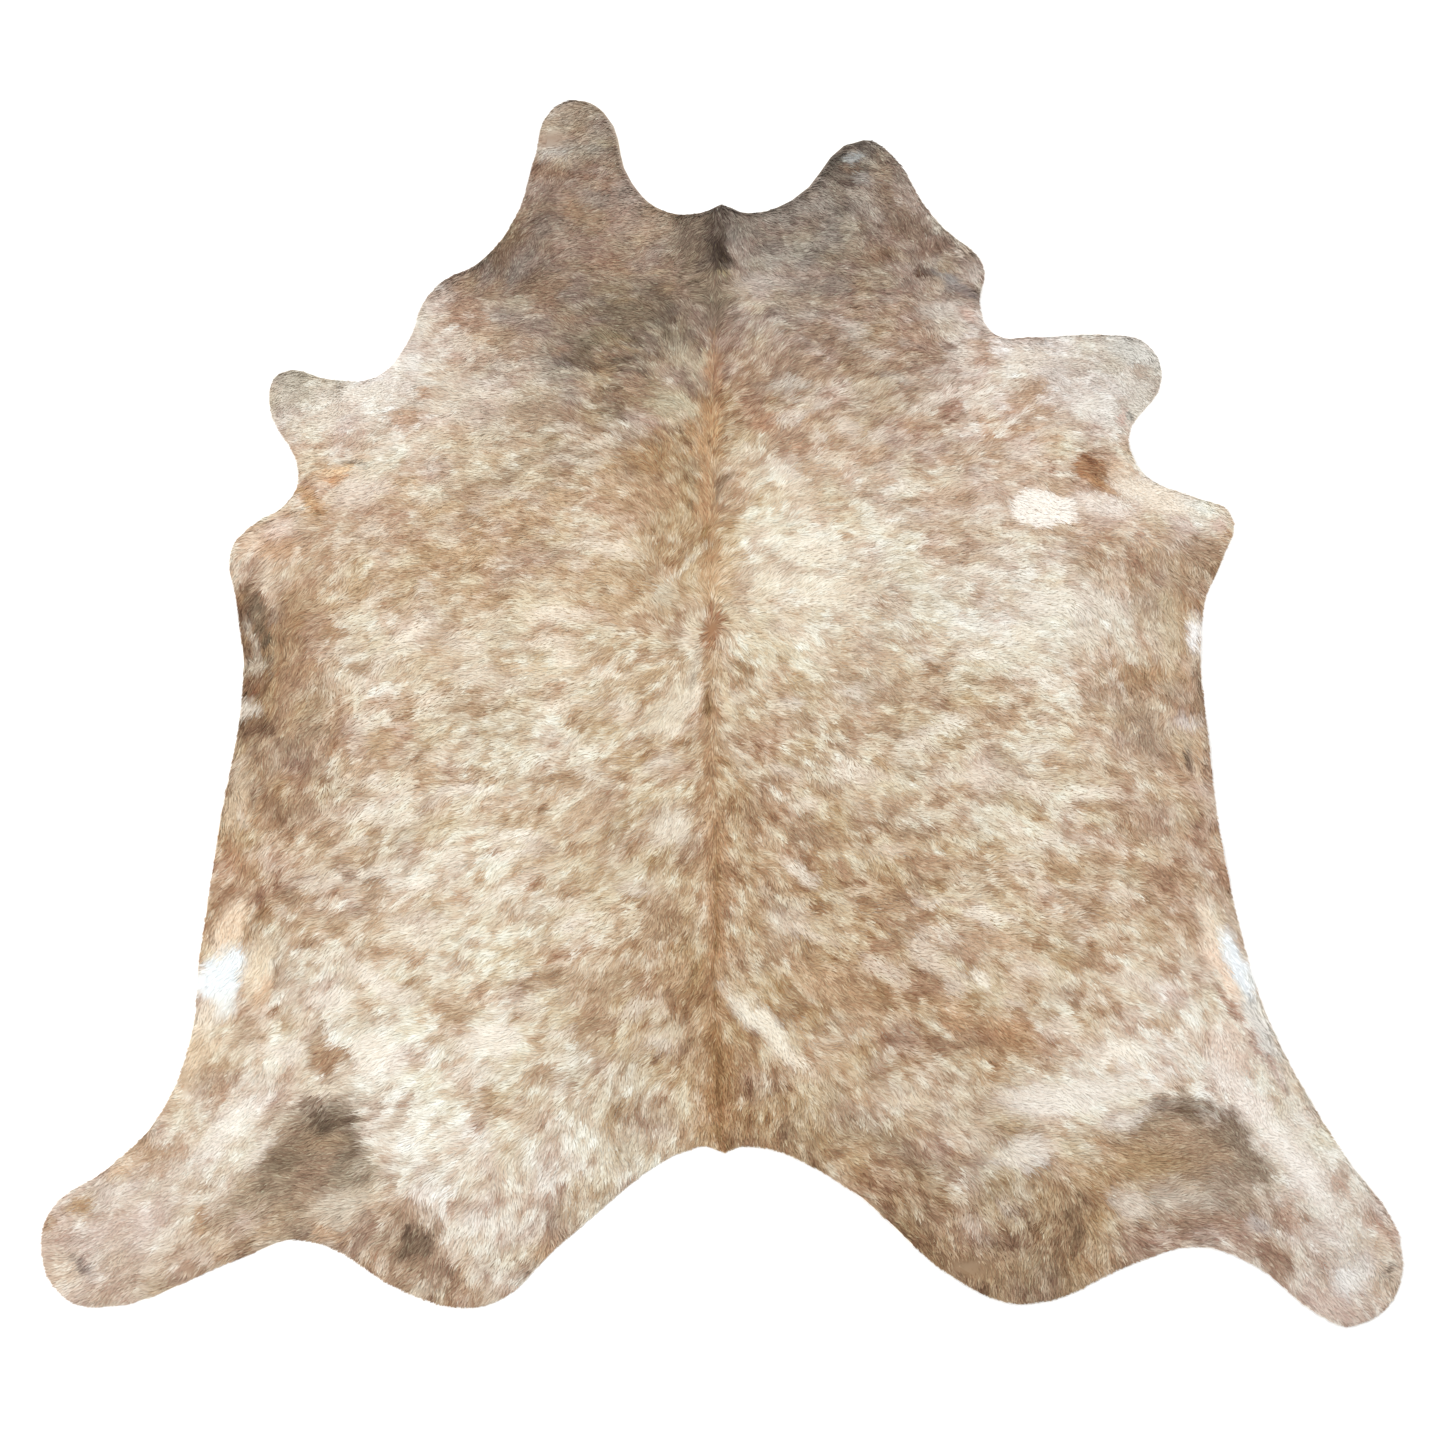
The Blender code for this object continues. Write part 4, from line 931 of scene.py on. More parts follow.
# The brindle's own large blots, by place and colour. Each group gives a colour and how fully it covers,
# then its blots as x, y, half length, half width in millimetres, and degrees. Their soft edge is
# BRINDLE_EDGE millimetres wide.
BRINDLE = (
    ("left withers, dark brown", "#7F6A54", 0.65, (
        (-240, 527, 30, 18, 350), (-205, 628, 30, 14, 0), (-140, 645, 25, 10, 330), (-140, 605, 20, 10, 330),
        (-185, 675, 15, 8, 0), (-230, 672, 12, 5, 0), (-60, 630, 12, 6, 60), (-165, 570, 20, 10, 320),
    )),
    ("left withers, golden", "#A48A66", 0.6, (
        (-165, 545, 40, 7, 340), (-180, 570, 18, 6, 350), (-170, 655, 20, 6, 10),
    )),
    ("left withers, pale", "#BBAF9A", 0.6, (
        (-100, 570, 30, 4, 305), (-70, 540, 12, 8, 100), (-120, 590, 20, 3, 300), (-365, 645, 20, 12, 10),
        (-270, 493, 30, 10, 0), (-220, 486, 20, 6, 0),
    )),
    ("left shoulder, brown", "#A0826A", 0.7, (
        (-455, 680, 30, 11, 80), (-410, 675, 20, 8, 70), (-315, 665, 30, 18, 300), (-283, 688, 12, 10, 0),
        (-325, 625, 18, 10, 280), (-385, 580, 15, 10, 0), (-360, 535, 15, 6, 290), (-280, 550, 16, 10, 20),
        (-185, 533, 20, 8, 10), (-270, 617, 30, 5, 0), (-180, 443, 18, 8, 340), (-320, 422, 30, 15, 10),
        (-262, 412, 20, 10, 0), (-235, 467, 15, 6, 0), (-150, 475, 30, 15, 330),
    )),
    ("left shoulder, tan", "#BFA387", 0.65, (
        (-470, 615, 20, 15, 0), (-425, 575, 25, 12, 340), (-445, 382, 15, 5, 0), (-455, 360, 12, 12, 0),
        (-395, 332, 20, 8, 0), (-330, 395, 40, 14, 0), (-330, 353, 18, 6, 20), (-455, 322, 18, 8, 0),
        (-500, 490, 12, 8, 0),
    )),
    ("left shoulder, cream", "#E0D5C4", 0.65, (
        (-455, 560, 30, 20, 0), (-357, 517, 20, 8, 10), (-420, 450, 40, 15, 0), (-370, 455, 12, 4, 0),
        (-262, 388, 20, 8, 0), (-205, 352, 30, 8, 20), (-250, 315, 40, 8, 0), (-490, 420, 30, 12, 0),
        (-520, 350, 30, 14, 10), (-330, 613, 7, 6, 0),
    )),
    ("left of the spine, caramel", "#B08B64", 0.7, (
        (-107, 377, 8, 6, 0), (-90, 355, 20, 12, 290), (-110, 330, 25, 12, 330), (-130, 310, 25, 10, 330),
        (-50, 380, 20, 12, 110), (-45, 340, 20, 12, 60),
    )),
    ("left of the spine, cream", "#D3C6A8", 0.65, (
        (-35, 520, 30, 9, 70), (-60, 435, 30, 12, 120), (-105, 435, 30, 8, 340), (-85, 405, 20, 6, 140),
    )),
    ("right of the neck, dark", "#8F8075", 0.6, (
        (210, 690, 20, 18, 0), (160, 685, 35, 14, 340), (135, 677, 9, 6, 0), (295, 660, 13, 8, 10),
        (335, 686, 30, 6, 20), (365, 660, 14, 8, 0), (455, 650, 20, 10, 80),
    )),
    ("right shoulder, brown", "#A68A72", 0.7, (
        (315, 643, 20, 6, 350), (290, 628, 25, 18, 0), (230, 625, 20, 10, 0), (355, 600, 20, 10, 60),
        (175, 588, 28, 20, 350), (297, 565, 20, 11, 60), (357, 577, 20, 10, 330), (372, 540, 28, 17, 100),
        (310, 512, 25, 14, 30), (237, 527, 20, 8, 70), (155, 522, 30, 18, 0), (160, 485, 30, 10, 10),
        (60, 475, 24, 16, 30), (325, 460, 18, 9, 10), (377, 462, 9, 6, 30), (215, 425, 9, 6, 30),
        (175, 400, 12, 10, 0), (262, 388, 16, 9, 0),
    )),
    ("right shoulder, dark brown", "#A17E67", 0.8, (
        (402, 416, 26, 17, 340), (385, 408, 14, 10, 0), (390, 390, 10, 6, 0),
    )),
    ("right shoulder, tan", "#BB9A7C", 0.7, (
        (345, 404, 22, 5, 15), (325, 385, 20, 16, 60), (460, 375, 30, 11, 90), (470, 335, 18, 10, 340),
        (468, 530, 20, 8, 340), (545, 455, 25, 15, 60), (495, 437, 15, 7, 0), (550, 420, 30, 10, 350),
        (525, 385, 30, 10, 25), (565, 357, 30, 11, 20), (125, 350, 30, 18, 340), (200, 355, 30, 16, 60),
        (255, 330, 30, 19, 30), (155, 305, 25, 10, 0), (420, 330, 25, 12, 330), (380, 320, 12, 9, 0),
        (75, 390, 35, 20, 310), (450, 560, 14, 10, 0),
    )),
    ("right shoulder, pale", "#CEC3B5", 0.65, (
        (75, 690, 35, 12, 350), (50, 665, 12, 3, 330), (150, 620, 16, 6, 345), (65, 588, 11, 6, 0),
        (95, 575, 9, 8, 0), (235, 583, 25, 15, 340), (275, 535, 25, 17, 20), (330, 567, 18, 14, 0),
        (310, 487, 25, 10, 350), (395, 625, 30, 18, 0), (120, 475, 30, 13, 10), (385, 482, 12, 8, 0),
    )),
    ("right shoulder, cream", "#E0D5C7", 0.7, (
        (430, 525, 18, 25, 0), (540, 530, 40, 20, 0), (140, 440, 20, 6, 0), (170, 430, 18, 8, 20),
        (215, 385, 25, 14, 340), (170, 365, 20, 8, 320), (270, 365, 20, 10, 40), (400, 450, 50, 8, 25),
        (345, 427, 30, 8, 40), (450, 430, 30, 16, 60), (530, 365, 30, 6, 25), (515, 330, 25, 14, 10),
        (405, 370, 15, 8, 20), (570, 390, 20, 10, 20), (300, 300, 20, 10, 0), (110, 295, 30, 12, 330),
        (45, 335, 16, 8, 40), (420, 590, 18, 10, 330),
    )),
    ("left ribs, white", "#F0E6D5", 0.7, (
        (-190, 148, 50, 12, 355), (-270, 20, 60, 18, 0), (-510, -15, 40, 18, 30), (-290, -35, 35, 10, 0),
        (-255, -60, 20, 12, 0), (-170, -95, 30, 8, 0), (-470, -135, 13, 10, 0), (-270, -150, 20, 12, 0),
        (-160, -170, 20, 12, 60), (-50, -140, 45, 18, 40), (-80, -190, 30, 14, 0),
    )),
    ("left ribs, cream", "#E4D9C8", 0.65, (
        (-285, 175, 12, 8, 0), (-150, 130, 30, 10, 0), (-240, 115, 13, 10, 0), (-620, 280, 40, 18, 25),
        (-500, 250, 16, 10, 0), (-460, 215, 13, 7, 0), (-350, 250, 30, 8, 0), (-585, 180, 20, 15, 0),
        (-630, 160, 15, 7, 0), (-460, 160, 13, 8, 0), (-580, 130, 13, 7, 0), (-495, 65, 12, 15, 0),
        (-580, 40, 30, 12, 70), (-550, -70, 18, 20, 0), (-590, -100, 20, 15, 0), (-410, -40, 30, 15, 0),
        (-400, -90, 30, 18, 0), (-340, -115, 20, 12, 0), (-280, -170, 15, 6, 0), (-220, -140, 25, 8, 0),
        (-50, -20, 12, 30, 0), (-220, -220, 30, 10, 0), (-570, -185, 20, 12, 0),
    )),
    ("left ribs, tan", "#C1A37F", 0.65, (
        (-530, 275, 30, 12, 0), (-270, 245, 30, 18, 0), (-480, 225, 50, 14, 0), (-430, 130, 60, 18, 0),
        (-300, 110, 20, 8, 0), (-600, 70, 25, 18, 0), (-380, 40, 30, 7, 0), (-420, 60, 20, 8, 0),
        (-200, 90, 30, 18, 0), (-160, 45, 30, 18, 0), (-200, -70, 40, 10, 20), (-130, -100, 50, 13, 20),
        (-200, -130, 40, 6, 0), (-540, -215, 20, 15, 0), (-330, -80, 40, 11, 0),
    )),
    ("left ribs, brown", "#B08E6C", 0.7, (
        (-280, 275, 13, 6, 0), (-120, 245, 50, 36, 0), (-430, 200, 40, 8, 0), (-330, 190, 50, 14, 0),
        (-350, 170, 30, 10, 0), (-510, 150, 13, 10, 0), (-460, 95, 30, 6, 0), (-530, 90, 30, 8, 0),
        (-640, -15, 15, 13, 0), (-355, -55, 13, 8, 0), (-590, -75, 12, 10, 0), (-120, -65, 20, 12, 0),
        (-300, -120, 11, 8, 0), (-400, -150, 30, 18, 0), (-230, -180, 20, 10, 0), (-630, -180, 13, 12, 0),
        (-680, -80, 20, 15, 0), (-670, -200, 30, 20, 0),
    )),
    ("right ribs, white", "#F0E8D7", 0.45, (
        (80, 170, 30, 18, 0), (150, 135, 50, 28, 0), (80, 80, 30, 24, 0), (180, 60, 60, 28, 350),
        (120, 265, 25, 12, 330), (500, -20, 30, 22, 0), (135, -30, 25, 10, 0), (160, -60, 20, 10, 0),
    )),
    ("right ribs, cream", "#E8E0D3", 0.65, (
        (310, 270, 20, 14, 0), (470, 140, 25, 12, 0), (430, 100, 30, 10, 0), (580, 40, 80, 32, 0),
        (590, -20, 40, 10, 0), (330, -60, 30, 10, 0), (420, -60, 40, 18, 0), (530, -100, 30, 18, 0),
        (210, -120, 16, 8, 0), (110, -145, 16, 10, 0), (355, -185, 50, 12, 20), (310, -220, 30, 14, 0),
        (500, -220, 30, 10, 0),
    )),
    ("right ribs, tan", "#C1A489", 0.65, (
        (160, 290, 15, 18, 0), (270, 280, 18, 18, 0), (200, 225, 20, 10, 0), (380, 240, 80, 22, 0),
        (350, 140, 30, 12, 0), (320, 190, 16, 8, 0), (420, 130, 30, 11, 0), (270, 90, 20, 8, 0),
        (420, 55, 11, 10, 0), (460, 35, 11, 10, 0), (30, 70, 18, 28, 0), (575, 270, 30, 12, 0),
        (505, 295, 16, 12, 0), (220, -60, 16, 10, 0), (250, -70, 30, 10, 0),
    )),
    ("right ribs, brown", "#AF8F71", 0.7, (
        (400, 240, 16, 12, 0), (400, 180, 40, 13, 0), (630, 165, 50, 11, 350), (620, 140, 30, 10, 340),
        (620, 110, 16, 8, 0), (275, 25, 15, 9, 0), (680, 60, 11, 15, 0), (210, -85, 20, 12, 0),
        (270, -125, 35, 18, 0), (350, -80, 25, 10, 345), (370, -50, 13, 10, 0), (450, -110, 30, 12, 345),
        (430, -165, 20, 10, 340), (200, -175, 13, 10, 0), (140, -175, 30, 10, 0), (275, -180, 12, 15, 0),
        (520, -180, 15, 14, 0), (500, -140, 13, 12, 0), (620, -80, 18, 10, 340), (620, -125, 20, 10, 0),
        (680, -120, 30, 18, 0), (700, -90, 20, 12, 0), (687, 120, 12, 30, 0),
    )),
    ("left thigh, white", "#F0E9DD", 0.75, (
        (-390, -300, 40, 8, 0), (-310, -380, 50, 11, 340), (-330, -405, 30, 8, 0), (-470, -455, 22, 14, 0),
        (-220, -520, 35, 10, 20), (-580, -640, 30, 14, 0), (-525, -610, 50, 17, 320),
        (-340, -705, 50, 28, 0), (-520, -725, 45, 34, 0), (-650, -720, 30, 20, 0),
    )),
    ("left thigh, cream", "#E7DECF", 0.65, (
        (-205, -265, 35, 14, 330), (-100, -250, 30, 10, 30), (-540, -280, 11, 20, 0),
        (-430, -310, 30, 10, 0), (-500, -345, 30, 18, 0), (-560, -340, 30, 12, 0), (-570, -380, 20, 10, 0),
        (-420, -410, 30, 18, 0), (-360, -480, 40, 12, 30), (-130, -460, 20, 10, 0), (-250, -490, 30, 10, 0),
        (-460, -530, 50, 28, 0), (-600, -570, 30, 14, 0), (-480, -640, 20, 14, 0), (-280, -645, 20, 12, 0),
        (-240, -690, 20, 10, 0), (-230, -730, 20, 12, 0), (-120, -650, 30, 10, 30), (-80, -365, 25, 28, 0),
        (-570, -440, 70, 12, 10), (-90, -710, 20, 14, 0),
    )),
    ("left thigh, tan", "#BFA283", 0.65, (
        (-180, -265, 12, 15, 0), (-460, -260, 20, 12, 50), (-570, -260, 40, 18, 0), (-620, -370, 20, 15, 0),
        (-310, -350, 40, 10, 0), (-200, -335, 50, 28, 20), (-390, -410, 12, 14, 0), (-540, -470, 25, 18, 0),
        (-530, -520, 12, 30, 0), (-480, -565, 50, 8, 0), (-585, -535, 20, 12, 0), (-370, -555, 13, 10, 0),
        (-400, -655, 25, 10, 0), (-440, -620, 13, 10, 0), (-430, -700, 18, 13, 0), (-700, -680, 20, 15, 0),
    )),
    ("left thigh, brown", "#B0906F", 0.7, (
        (-250, -275, 25, 12, 330), (-670, -320, 25, 18, 0), (-200, -400, 30, 10, 0), (-275, -395, 13, 8, 0),
        (-620, -420, 20, 8, 0), (-550, -415, 16, 8, 0), (-230, -460, 30, 14, 0), (-650, -480, 30, 18, 0),
        (-650, -535, 20, 14, 0), (-100, -510, 40, 26, 60), (-260, -600, 20, 12, 0), (-280, -615, 16, 10, 0),
        (-200, -615, 60, 18, 0), (-230, -645, 25, 10, 0), (-70, -600, 35, 24, 70), (-620, -585, 8, 7, 0),
        (-590, -580, 8, 7, 0), (-200, -690, 16, 12, 0), (-180, -670, 20, 10, 0), (-270, -760, 20, 12, 0),
        (-50, -690, 25, 13, 70),
    )),
    ("left thigh, dark brown", "#9F795B", 0.75, (
        (-580, -440, 13, 10, 0), (-710, -475, 11, 9, 0), (-70, -500, 15, 6, 70),
    )),
    ("right thigh, white", "#F0E8DA", 0.75, (
        (200, -265, 25, 12, 30), (410, -505, 45, 14, 345), (330, -485, 16, 7, 0), (390, -605, 18, 18, 0),
        (600, -725, 40, 18, 0), (115, -430, 30, 10, 325), (580, -300, 30, 12, 0),
    )),
    ("right thigh, cream", "#E5D9C9", 0.65, (
        (235, -270, 30, 15, 340), (130, -320, 20, 18, 0), (100, -260, 25, 12, 330), (400, -270, 50, 18, 0),
        (500, -290, 30, 18, 0), (620, -305, 16, 10, 0), (460, -360, 20, 12, 340), (520, -375, 20, 14, 0),
        (260, -400, 30, 8, 10), (470, -420, 20, 14, 0), (505, -470, 13, 10, 0), (615, -475, 18, 14, 0),
        (330, -530, 25, 8, 30), (310, -570, 30, 18, 330), (345, -610, 30, 12, 300), (245, -590, 35, 8, 325),
        (440, -645, 16, 8, 0), (470, -590, 20, 14, 0), (510, -680, 18, 20, 0), (620, -610, 30, 18, 0),
        (130, -530, 50, 10, 335),
    )),
    ("right thigh, tan", "#BC9A77", 0.65, (
        (230, -310, 30, 10, 330), (100, -285, 13, 10, 0), (545, -250, 30, 12, 0), (535, -420, 30, 14, 0),
        (610, -410, 30, 10, 0), (670, -680, 18, 12, 0), (585, -660, 13, 10, 0), (583, -745, 12, 10, 0),
        (165, -620, 75, 28, 330), (420, -545, 40, 12, 0), (450, -720, 20, 12, 0),
    )),
    ("right thigh, brown", "#AE8C6D", 0.7, (
        (275, -320, 25, 12, 330), (300, -385, 30, 12, 0), (140, -370, 60, 18, 340), (335, -420, 50, 18, 0),
        (260, -480, 30, 14, 0), (500, -540, 13, 10, 0), (560, -580, 20, 7, 0), (530, -480, 18, 12, 0),
        (560, -505, 16, 8, 0), (645, -275, 20, 14, 0), (610, -330, 40, 8, 345), (680, -475, 24, 28, 0),
        (540, -645, 16, 12, 0), (375, -550, 15, 18, 0), (360, -690, 20, 24, 0), (190, -685, 18, 12, 0),
        (300, -515, 20, 8, 0),
    )),
    ("right thigh, dark brown", "#A27B5D", 0.75, (
        (345, -365, 16, 7, 0), (185, -425, 20, 12, 300), (265, -515, 13, 10, 0), (245, -560, 20, 17, 0),
        (380, -565, 13, 7, 0), (300, -620, 30, 21, 60), (420, -690, 40, 17, 10),
    )),
)
BRINDLE_EDGE = 8

# Where the brindle is weaker than on the thighs, sizes in millimetres: place, x, y, half length, half
# width, degrees, the share that it loses, soft edge
CALM_PLACES = (
    ("neck", 0, 850, 500, 300, 0, 0.4, 150),
    ("left neck", -200, 750, 160, 160, 0, 0.25, 80),
    ("left shoulder", -420, 500, 160, 160, 0, 0.32, 80),
    ("left belly", -720, -80, 300, 80, 90, 0.3, 50),
    ("right belly", 720, -80, 300, 80, 90, 0.3, 50),
    ("left ribs", -380, 120, 320, 280, 0, 0.22, 120),
    ("right ribs", 380, 140, 320, 280, 0, 0.22, 120),
    ("left foreleg", -680, 440, 150, 80, 20, 0.22, 60),
    ("right foreleg", 660, 470, 140, 80, 350, 0.25, 60),
    ("left foreleg tip", -750, 470, 70, 50, 60, 0.45, 30),
    ("right foreleg tip", 730, 530, 60, 50, 320, 0.4, 30),
    ("left hock", -610, -880, 100, 70, 55, 0.4, 30),
    ("right hock", 700, -870, 100, 70, 345, 0.4, 30),
    ("left hind foot", -860, -960, 160, 120, 40, 0.45, 80),
    ("right hind foot", 890, -980, 160, 120, 310, 0.25, 80),
)

# Small blots of brindle come by chance: size across in metres, and share. Fine and broad ones are drawn out
# along the hair by so many metres. The broad ones take up some of the fine ones, and BLOT_EDGE presses them
# towards plain brown or plain cream, as brindle is. BLOT_FADE makes a blot about as wide as its size says.
FINE_BLOTS = ((0.004, 0.6), (0.009, 1.0))
BROAD_BLOTS = ((0.010, 0.5), (0.022, 0.9), (0.050, 1.0))
CLOUDS = ((0.12, 1.0),)
BLOT_FADE = 2.6
FINE_COMBING = 0.006
BROAD_COMBING = 0.013
COMBING_STEPS = 4
FINE_IN_BROAD = 0.35
BLOT_EDGE = 1.4
FINE_CONTRAST = 0.084
BROAD_CONTRAST = 0.092
CLOUD_CONTRAST = 0.02

# Grey and red hairs come in soft blots of their own, and brown blots have more red hairs than cream ones.
# Where the share of red falls below 0, down to LEAST_RED, the golden hair is more golden still.
HUE_BLOTS = ((0.018, 0.6), (0.045, 1.0))
GREY_CONTRAST = 0.10
RED_CONTRAST = 0.16
RED_WITH_BROWN = 0.9
LEAST_RED = -0.25

# All blots and patches are bent out of their plain shapes by these blots: the broad brindle by so many
# metres, and a patch by a share of its soft edge, up to so many metres. The brindle also frays its edge.
BENDS = ((0.010, 0.6), (0.028, 1.0))
BRINDLE_BENDING = 0.009
PATCH_BENDING = 0.7
MOST_PATCH_BEND = 0.0045
PATCH_RAGGEDNESS = 0.12
RAGGED_BY_FINE = 0.7
RAGGED_BY_BROAD = 0.6

# A patch is worked out this far beyond its middle, in half sizes and in soft edges, as its edge is frayed.
SIZE_MARGIN = 1.2
EDGE_MARGIN = 2

# The brindle still shades a patch of colour, less so the paler the patch is.
PATCH_SHADING = 1.5
EVEN_WHEN_PALE = 1.4
MOST_EVEN = 0.9

COAT_SEED = 11


def soft_noise(chance, blots):
    """Even noise with the given sizes and shares of blots, spread about 0 by 1."""
    noise = np.fft.rfft2(chance.standard_normal(grid_x.shape))
    waves_up = np.fft.fftfreq(grid_x.shape[0], CELL)[:, None]
    waves_across = np.fft.rfftfreq(grid_x.shape[1], CELL)[None]
    wave = np.hypot(waves_up, waves_across)
    kept = np.zeros(wave.shape)
    for size, share in blots:
        band = np.exp(-0.5 * (wave * size * BLOT_FADE) ** 2)
        kept += share * band / math.sqrt((band ** 2).mean())
    blurred = np.fft.irfft2(noise * kept, grid_x.shape)
    return (blurred / blurred.std()).astype(np.float32)


def combed(field, reach):
    """The field drawn out along the hair by reach each way, and spread about 0 by 1 again."""
    total = field.copy()
    for way in (-1, 1):
        x = grid_x
        y = grid_y
        for _ in range(COMBING_STEPS):
            step = read_grid(lay, x, y) * (way * reach / COMBING_STEPS)
            x = x + step[..., 0]
            y = y + step[..., 1]
            total = total + read_grid(field, x, y)
    total -= total.mean()
    return (total / total.std()).astype(np.float32)


def mix_fields():
    """The tone and the shares of grey and red hair, blended between the table's places."""
    x, y = grid_places(COARSE_CELLS)
    total = np.full(x.shape, LEAST_WEIGHT, np.float32)
    mix = np.zeros((*x.shape, 3), np.float32)
    for _, row_x, row_y, *values in COAT_MIX:
        row_x, row_y = metres(row_x, row_y)
        weight = np.exp(-0.5 * ((x - row_x) ** 2 + (y - row_y) ** 2) / MIX_REACH ** 2)
        total += weight
        mix += weight[..., None] * np.array(values, np.float32)
    return np.moveaxis(read_grid(mix / total[..., None], grid_x, grid_y, COARSE_CELLS), -1, 0)


def patch(row_x, row_y, half_length, half_width, degrees, edge):
    """The grid's part round a patch, and how strongly the patch shows there: 1 inside, fading over a ragged
    edge. The sizes are in millimetres."""
    row_x, row_y, half_length, half_width, edge = metres(row_x, row_y, half_length, half_width, edge)
    reach = SIZE_MARGIN * max(half_length, half_width) + EDGE_MARGIN * edge
    i = [int(np.clip((row_x + way * reach - GRID_LEFT) / CELL, 0, GRID_WIDE)) for way in (-1, 1)]
    j = [int(np.clip((row_y + way * reach - GRID_BACK) / CELL, 0, GRID_LONG)) for way in (-1, 1)]
    part = np.s_[j[0]:j[1], i[0]:i[1]]
    bend = min(PATCH_BENDING * edge, MOST_PATCH_BEND)
    x = grid_x[part] - row_x + bend * bends[0][part]
    y = grid_y[part] - row_y + bend * bends[1][part]
    cosine = math.cos(math.radians(degrees))
    sine = math.sin(math.radians(degrees))
    far = np.hypot((x * cosine + y * sine) / half_length, (y * cosine - x * sine) / half_width)
    inside = (1 - far) * min(half_length, half_width) / edge
    share = np.clip(0.5 + 0.5 * inside + PATCH_RAGGEDNESS * ragged[part], 0, 1)
    return part, share * share * (3 - 2 * share)


def place_shares(rows):
    """The rows' shares added up over the grid."""
    total = np.zeros(grid_x.shape, np.float32)
    for _, row_x, row_y, half_length, half_width, degrees, share, edge in rows:
        part, strength = patch(row_x, row_y, half_length, half_width, degrees, edge)
        total[part] += share * strength
    return total


def coat_colours(tone, grey, red):
    """The coat's colour for a tone, held between 0 and 1, and the shares of grey and red hair."""
    grey = np.clip(grey, 0, 1)
    red = np.clip(red, LEAST_RED, 1 - grey)
    total = np.zeros((*tone.shape, 3), np.float32)
    for steps, share in ((GOLDEN_COAT, 1 - grey - red), (RED_COAT, red), (GREY_COAT, grey)):
        values = np.array([linear(step)[:3] for step in steps])
        at = np.linspace(0, 1, len(steps))
        total += share[..., None] * np.stack([np.interp(tone, at, values[:, k]) for k in range(3)], -1)
    return total


def cover(row_x, row_y, half_length, half_width, degrees, colour, strength, edge):
    """Lays a patch of colour over the coat. The brindle still shades it, the more so the darker it is."""
    part, share = patch(row_x, row_y, half_length, half_width, degrees, edge)
    patch_colour = np.array(linear(colour)[:3])
    even = np.clip(EVEN_WHEN_PALE * patch_colour.mean(), 0, MOST_EVEN)
    shaded = patch_colour * (1 - PATCH_SHADING * (1 - even) * brindle[part])[..., None]
    coat[part] += (strength * share)[..., None] * (shaded - coat[part])


chance = np.random.default_rng(COAT_SEED)
fine_blots = combed(soft_noise(chance, FINE_BLOTS), FINE_COMBING)
bends = [soft_noise(chance, BENDS) for _ in range(2)]
broad_blots = combed(soft_noise(chance, BROAD_BLOTS), BROAD_COMBING)
bent_x = grid_x + BRINDLE_BENDING * bends[0]
bent_y = grid_y + BRINDLE_BENDING * bends[1]
broad_blots = read_grid(broad_blots, bent_x, bent_y)
clouds = soft_noise(chance, CLOUDS)
ragged = RAGGED_BY_FINE * fine_blots + RAGGED_BY_BROAD * broad_blots
brindle = FINE_CONTRAST * fine_blots + CLOUD_CONTRAST * clouds
brindle += BROAD_CONTRAST * np.tanh(BLOT_EDGE * (broad_blots + FINE_IN_BROAD * fine_blots))
brindle *= 1 - place_shares(CALM_PLACES)

tone, grey, red = mix_fields()
grey += GREY_CONTRAST * soft_noise(chance, HUE_BLOTS)
red += RED_CONTRAST * soft_noise(chance, HUE_BLOTS)
for _, row_x, row_y, half_length, half_width, degrees, change in TONE_PATCHES:
    part, share = patch(row_x, row_y, half_length, half_width, degrees, TONE_EDGE)
    tone[part] += change * share
coat = coat_colours(tone + brindle, grey, red + RED_WITH_BROWN * brindle)
for _, colour, strength, blots in BRINDLE:
    for row_x, row_y, half_length, half_width, degrees in blots:
        cover(row_x, row_y, half_length, half_width, degrees, colour, strength, BRINDLE_EDGE)
for _, *row in COLOUR_PATCHES:
    cover(*row)


# The hide
# One whole hide, tanned with the hair on and cut to a clean rim with a knife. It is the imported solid, made
# finer: haired skin on top, the brushed flesh side below, and a pale cut edge between them.
MERGE_WITHIN = 0.00002
SMOOTHING_ROUNDS = 3
SMOOTHING = 0.5
SKIN_SHADE = 0.84

# A face whose normal stands this upright is of the haired or the flesh side. Any other is cut rim.
SKIN_FACE, FLESH_FACE, CUT_FACE = range(3)
FACING = 0.35


def object_from(bm, name):
    """A new object of the bmesh, riding on the part's one body, and in the scene."""
    made = bpy.data.objects.new(name, bpy.data.meshes.new(name))
    bm.to_mesh(made.data)
    bm.free()
    bpy.context.scene.collection.objects.link(made)
    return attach(made, "root")


def shaped_hide():
    """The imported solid's mesh, merged, made finer, smoothed inside its rim, and its faces told apart."""
    bm = bmesh.new()
    bm.from_mesh(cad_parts["cowhide"].data)
    bmesh.ops.remove_doubles(bm, verts=bm.verts, dist=MERGE_WITHIN)
    bmesh.ops.subdivide_edges(bm, edges=bm.edges, cuts=1)
    bmesh.ops.triangulate(bm, faces=[f for f in bm.faces if len(f.verts) > 3])
    bm.normal_update()
    for face in bm.faces:
        up = face.normal.z
        face.material_index = SKIN_FACE if up > FACING else FLESH_FACE if up < -FACING else CUT_FACE
        face.smooth = True
    inner = [v for v in bm.verts if all(f.material_index == SKIN_FACE for f in v.link_faces)]
    for _ in range(SMOOTHING_ROUNDS):
        bmesh.ops.smooth_vert(bm, verts=inner, factor=SMOOTHING, use_axis_z=True)
    for edge in bm.edges:
        edge.smooth = len({f.material_index for f in edge.link_faces}) == 1
    return bm


